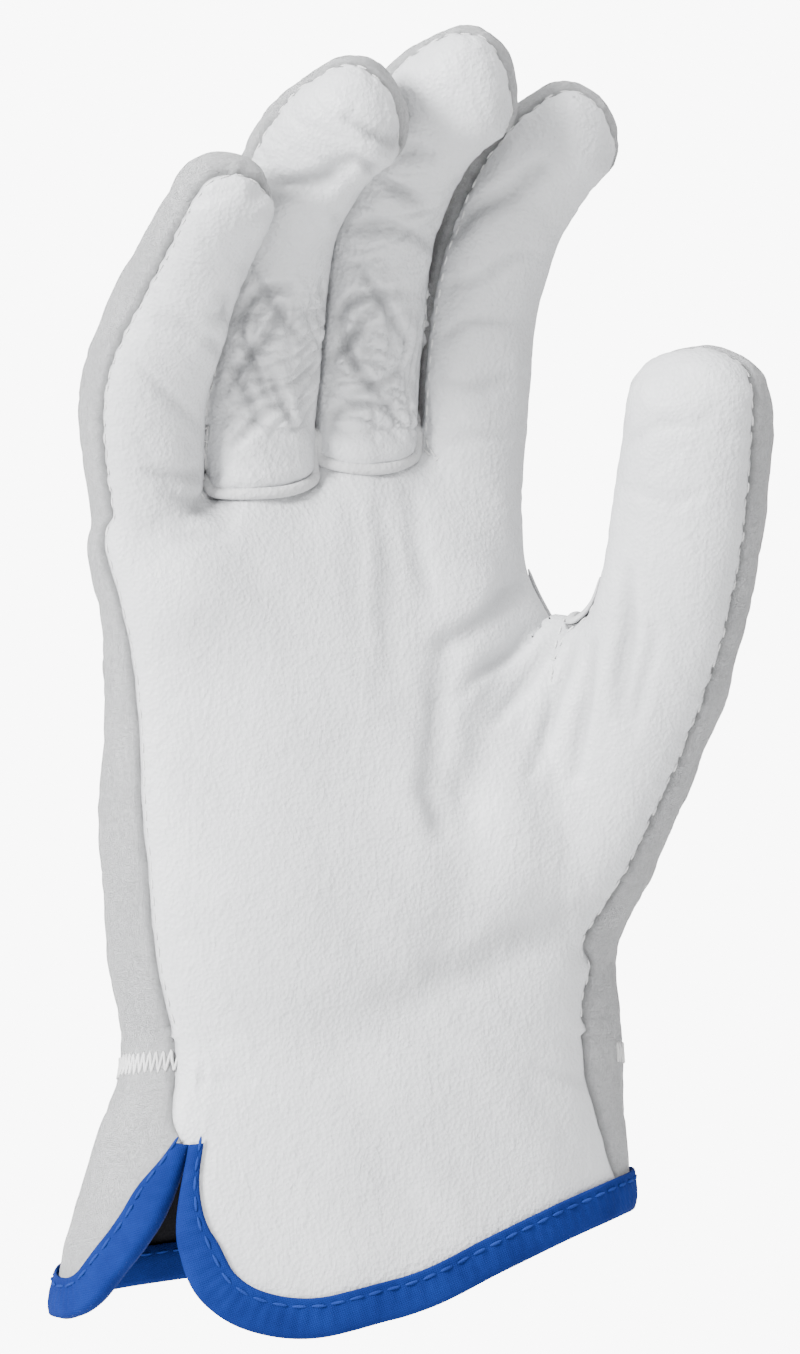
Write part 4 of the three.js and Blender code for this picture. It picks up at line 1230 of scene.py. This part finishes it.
class GLOVE_OT_seams(bpy.types.Operator):
    """Lay the stitches beside the seams and the zigzag over the elastic"""
    bl_idname = "glove.seams"
    bl_label = "Sew seams"

    def execute(self, context):
        pitch = context.scene.glove.stitch_pitch
        made = materials()
        for name in ("Palm_panel", "Ring_front", "Middle_front"):
            used, used_tris, outer = CACHE[name]
            lifted = np.column_stack([outer + used[:, N] * 0.1, used[:, 3:]])
            points, edges = contour(lifted, used_tris, used[:, SEAM], 1.15, lambda p: p[:, 2] > 62)
            values = {"Pitch": pitch, "Length": 0.0021, "Thickness": 0.00022}
            row = grow(name + "_stitches", points[:, X], edges, stitch_group(), values, made["thread"])
            finish_piece(row, [])
        turn = np.linspace(-59, -296, 1200)
        middle = 53 + 3.0 * np.cos(np.radians(turn))
        rows = resample(np.column_stack([palm_point(turn, middle, 0), turn, middle]), 1.75)
        swing = np.where(np.arange(len(rows)) % 2 == 0, 2.1, -2.1)
        line = resample(palm_point(rows[:, 3], rows[:, 4] + swing, 0.2), 0.8)
        surface, surface_tris, outer = CACHE["Back_panel"]
        near = np.flatnonzero((surface[:, 2] > 40) & (surface[:, 2] < 66))
        for i, point in enumerate(line):
            nearest = near[((outer[near] - point) ** 2).sum(1).argmin()]
            line[i] += surface[nearest, N] * (((outer[nearest] - point) * surface[nearest, N]).sum() + 0.05)
        edges = np.stack([np.arange(len(line) - 1), np.arange(1, len(line))], 1)
        row = grow("Elastic_zigzag", line, edges, thread_group(), {"Thickness": 0.0003}, made["thread"])
        finish_piece(row, [])
        return {"FINISHED"}


class GLOVE_OT_welts(bpy.types.Operator):
    """Lay the leather strips into the seam at the finger roots and into the thumb's crotch"""
    bl_idname = "glove.welts"
    bl_label = "Build welts"

    def execute(self, context):
        made = materials()
        half = WELT_WIDTH / 2
        around = np.radians(np.arange(0, 360, 36))
        profile = np.stack([np.cos(around) * half, np.sin(around) * 0.7], 1)
        rows = []
        for name, column in (("Ring_front", RING_LINE), ("Middle_front", MIDDLE_LINE)):
            used, used_tris, outer = CACHE[name]
            full = np.column_stack([used[:, X], used[:, 3:]])
            points, edges = contour(full, used_tris, used[:, column], 0.25, lambda p: p[:, 1] < 30)
            longest = chain(edges)[0]
            line = points[longest][:, :6]
            if line[0, 0] > line[-1, 0]:
                line = line[::-1]
            rows.append(line[2:-2])
        line = smooth_row(resample(np.vstack(rows), 1.2), 3)
        place, out = line[:, :3], line[:, 3:6]
        points, faces = sweep(place + out * 0.1, out, profile)
        welt = mesh_object("Base_welt", points, faces, [made["welt"]])
        data, tris = CACHE["data"], CACHE["pieces"]["Back_panel"]
        crotch = lambda p: (p[:, 0] > 22) & (p[:, 2] > 122) & (p[:, 2] < 154 - 0.3 * (p[:, 0] - 30))
        points, edges = contour(data, tris, data[:, SEAM], -0.6, crotch)
        longest = chain(edges)[0]
        line = smooth_row(resample(points[longest][:, :6], 1.2), 4)
        ends = np.sin(np.linspace(0, np.pi, len(line))) ** 0.4
        tapered = profile * (0.25 + 0.75 * ends)[:, None, None]
        points, faces = sweep(line[:, :3] + line[:, 3:6] * 0.15, line[:, 3:6], tapered)
        web = mesh_object("Web_welt", points, faces, [made["welt"]])
        for obj, name in ((welt, "base_welt"), (web, "web_welt")):
            for polygon in obj.data.polygons:
                polygon.use_smooth = len(polygon.vertices) == 4
            finish_piece(obj, [name])
        return {"FINISHED"}


class GLOVE_OT_binding(bpy.types.Operator):
    """Fold the blue tape over the hem and stitch it"""
    bl_idname = "glove.binding"
    bl_label = "Build binding"

    def execute(self, context):
        build_tape(context.scene.glove.tape_width / MM)
        return {"FINISHED"}


def area_light(name, place, target, size, power):
    light = bpy.data.lights.new(name, "AREA")
    light.shape = "RECTANGLE"
    light.size, light.size_y = size
    light.energy = power
    obj = link(bpy.data.objects.new(name, light))
    obj.location = place
    obj.rotation_euler = (Vector(target) - Vector(place)).to_track_quat("-Z", "Y").to_euler()


class GLOVE_OT_stage(bpy.types.Operator):
    """Put up the pale floor, the soft light and the camera"""
    bl_idname = "glove.stage"
    bl_label = "Build stage"

    def execute(self, context):
        scene = context.scene
        material, tree, shader = new_material("Studio floor")
        shader.inputs["Base Color"].default_value = (0.93, 0.93, 0.93, 1)
        shader.inputs["Roughness"].default_value = 0.9
        around = np.radians(np.arange(0, 360, 5))
        rim = np.stack([np.cos(around) * 430, np.sin(around) * 430, np.full(len(around), -60.0)], 1)
        floor = mesh_object("Floor", rim, [list(range(len(rim)))], [material])
        world = bpy.data.worlds.new("Studio")
        world.use_nodes = True
        background = world.node_tree.nodes["Background"]
        background.inputs["Color"].default_value = (1, 1, 1, 1)
        background.inputs["Strength"].default_value = 1.55
        backdrop = node(world.node_tree, "ShaderNodeBackground", {"Strength": 9.0})
        seen = node(world.node_tree, "ShaderNodeLightPath")
        both = node(world.node_tree, "ShaderNodeMixShader")
        wire(world.node_tree, seen, "Is Camera Ray", both, 0)
        wire(world.node_tree, background, 0, both, 1)
        wire(world.node_tree, backdrop, 0, both, 2)
        backdrop.inputs["Color"].default_value = (1, 1, 1, 1)
        wire(world.node_tree, both, 0, world.node_tree.nodes["World Output"], "Surface")
        scene.world = world
        centre = (0.0, -0.01, 0.13)
        area_light("Key", (-1.3, -0.5, 0.75), centre, (0.4, 0.6), 92.0)
        area_light("Top", (0.1, -0.5, 1.5), centre, (0.5, 0.5), 22.0)
        camera = bpy.data.cameras.new("Camera")
        a = math.radians(VIEW_AZIMUTH)
        distance = scene.glove.camera_distance
        back = Vector((math.sin(a), -math.cos(a), 0))
        side = Vector((math.cos(a), math.sin(a), 0))
        aim = side * (400 - 370) * 0.0002 + Vector((0, 0, (1330 - 677) * 0.0002))
        camera.sensor_fit = "VERTICAL"
        camera.sensor_height = 36
        camera.sensor_width = 36
        tall = 1354 * 0.0002
        nearness = 0.02
        camera.lens = 36 * (distance - nearness) / tall
        camera.clip_start, camera.clip_end = 0.05, 30
        obj = link(bpy.data.objects.new("Camera", camera))
        obj.location = aim + back * distance
        obj.rotation_euler = (-back).to_track_quat("-Z", "Y").to_euler()
        scene.camera = obj
        return {"FINISHED"}


class GLOVE_PT_panel(bpy.types.Panel):
    """The glove's sizes and build steps"""
    bl_label = "Rigger glove"
    bl_idname = "GLOVE_PT_panel"
    bl_space_type = "VIEW_3D"
    bl_region_type = "UI"
    bl_category = "Glove"

    def draw(self, context):
        for name in ("cell", "tape_width", "stitch_pitch", "camera_distance"):
            self.layout.prop(context.scene.glove, name)
        for step in STEPS:
            self.layout.operator(step.bl_idname)


STEPS = (GLOVE_OT_leather, GLOVE_OT_welts, GLOVE_OT_seams, GLOVE_OT_binding, GLOVE_OT_stage)
CLASSES = (GloveSettings, *STEPS, GLOVE_PT_panel)


def register():
    for item in CLASSES:
        bpy.utils.register_class(item)
    bpy.types.Scene.glove = bpy.props.PointerProperty(type=GloveSettings)


def unregister():
    del bpy.types.Scene.glove
    for item in reversed(CLASSES):
        bpy.utils.unregister_class(item)


def main():
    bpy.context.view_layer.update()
    register()
    bpy.ops.glove.leather()
    bpy.ops.glove.welts()
    bpy.ops.glove.seams()
    bpy.ops.glove.binding()
    bpy.ops.glove.stage()


if __name__ == "__main__":
    main()
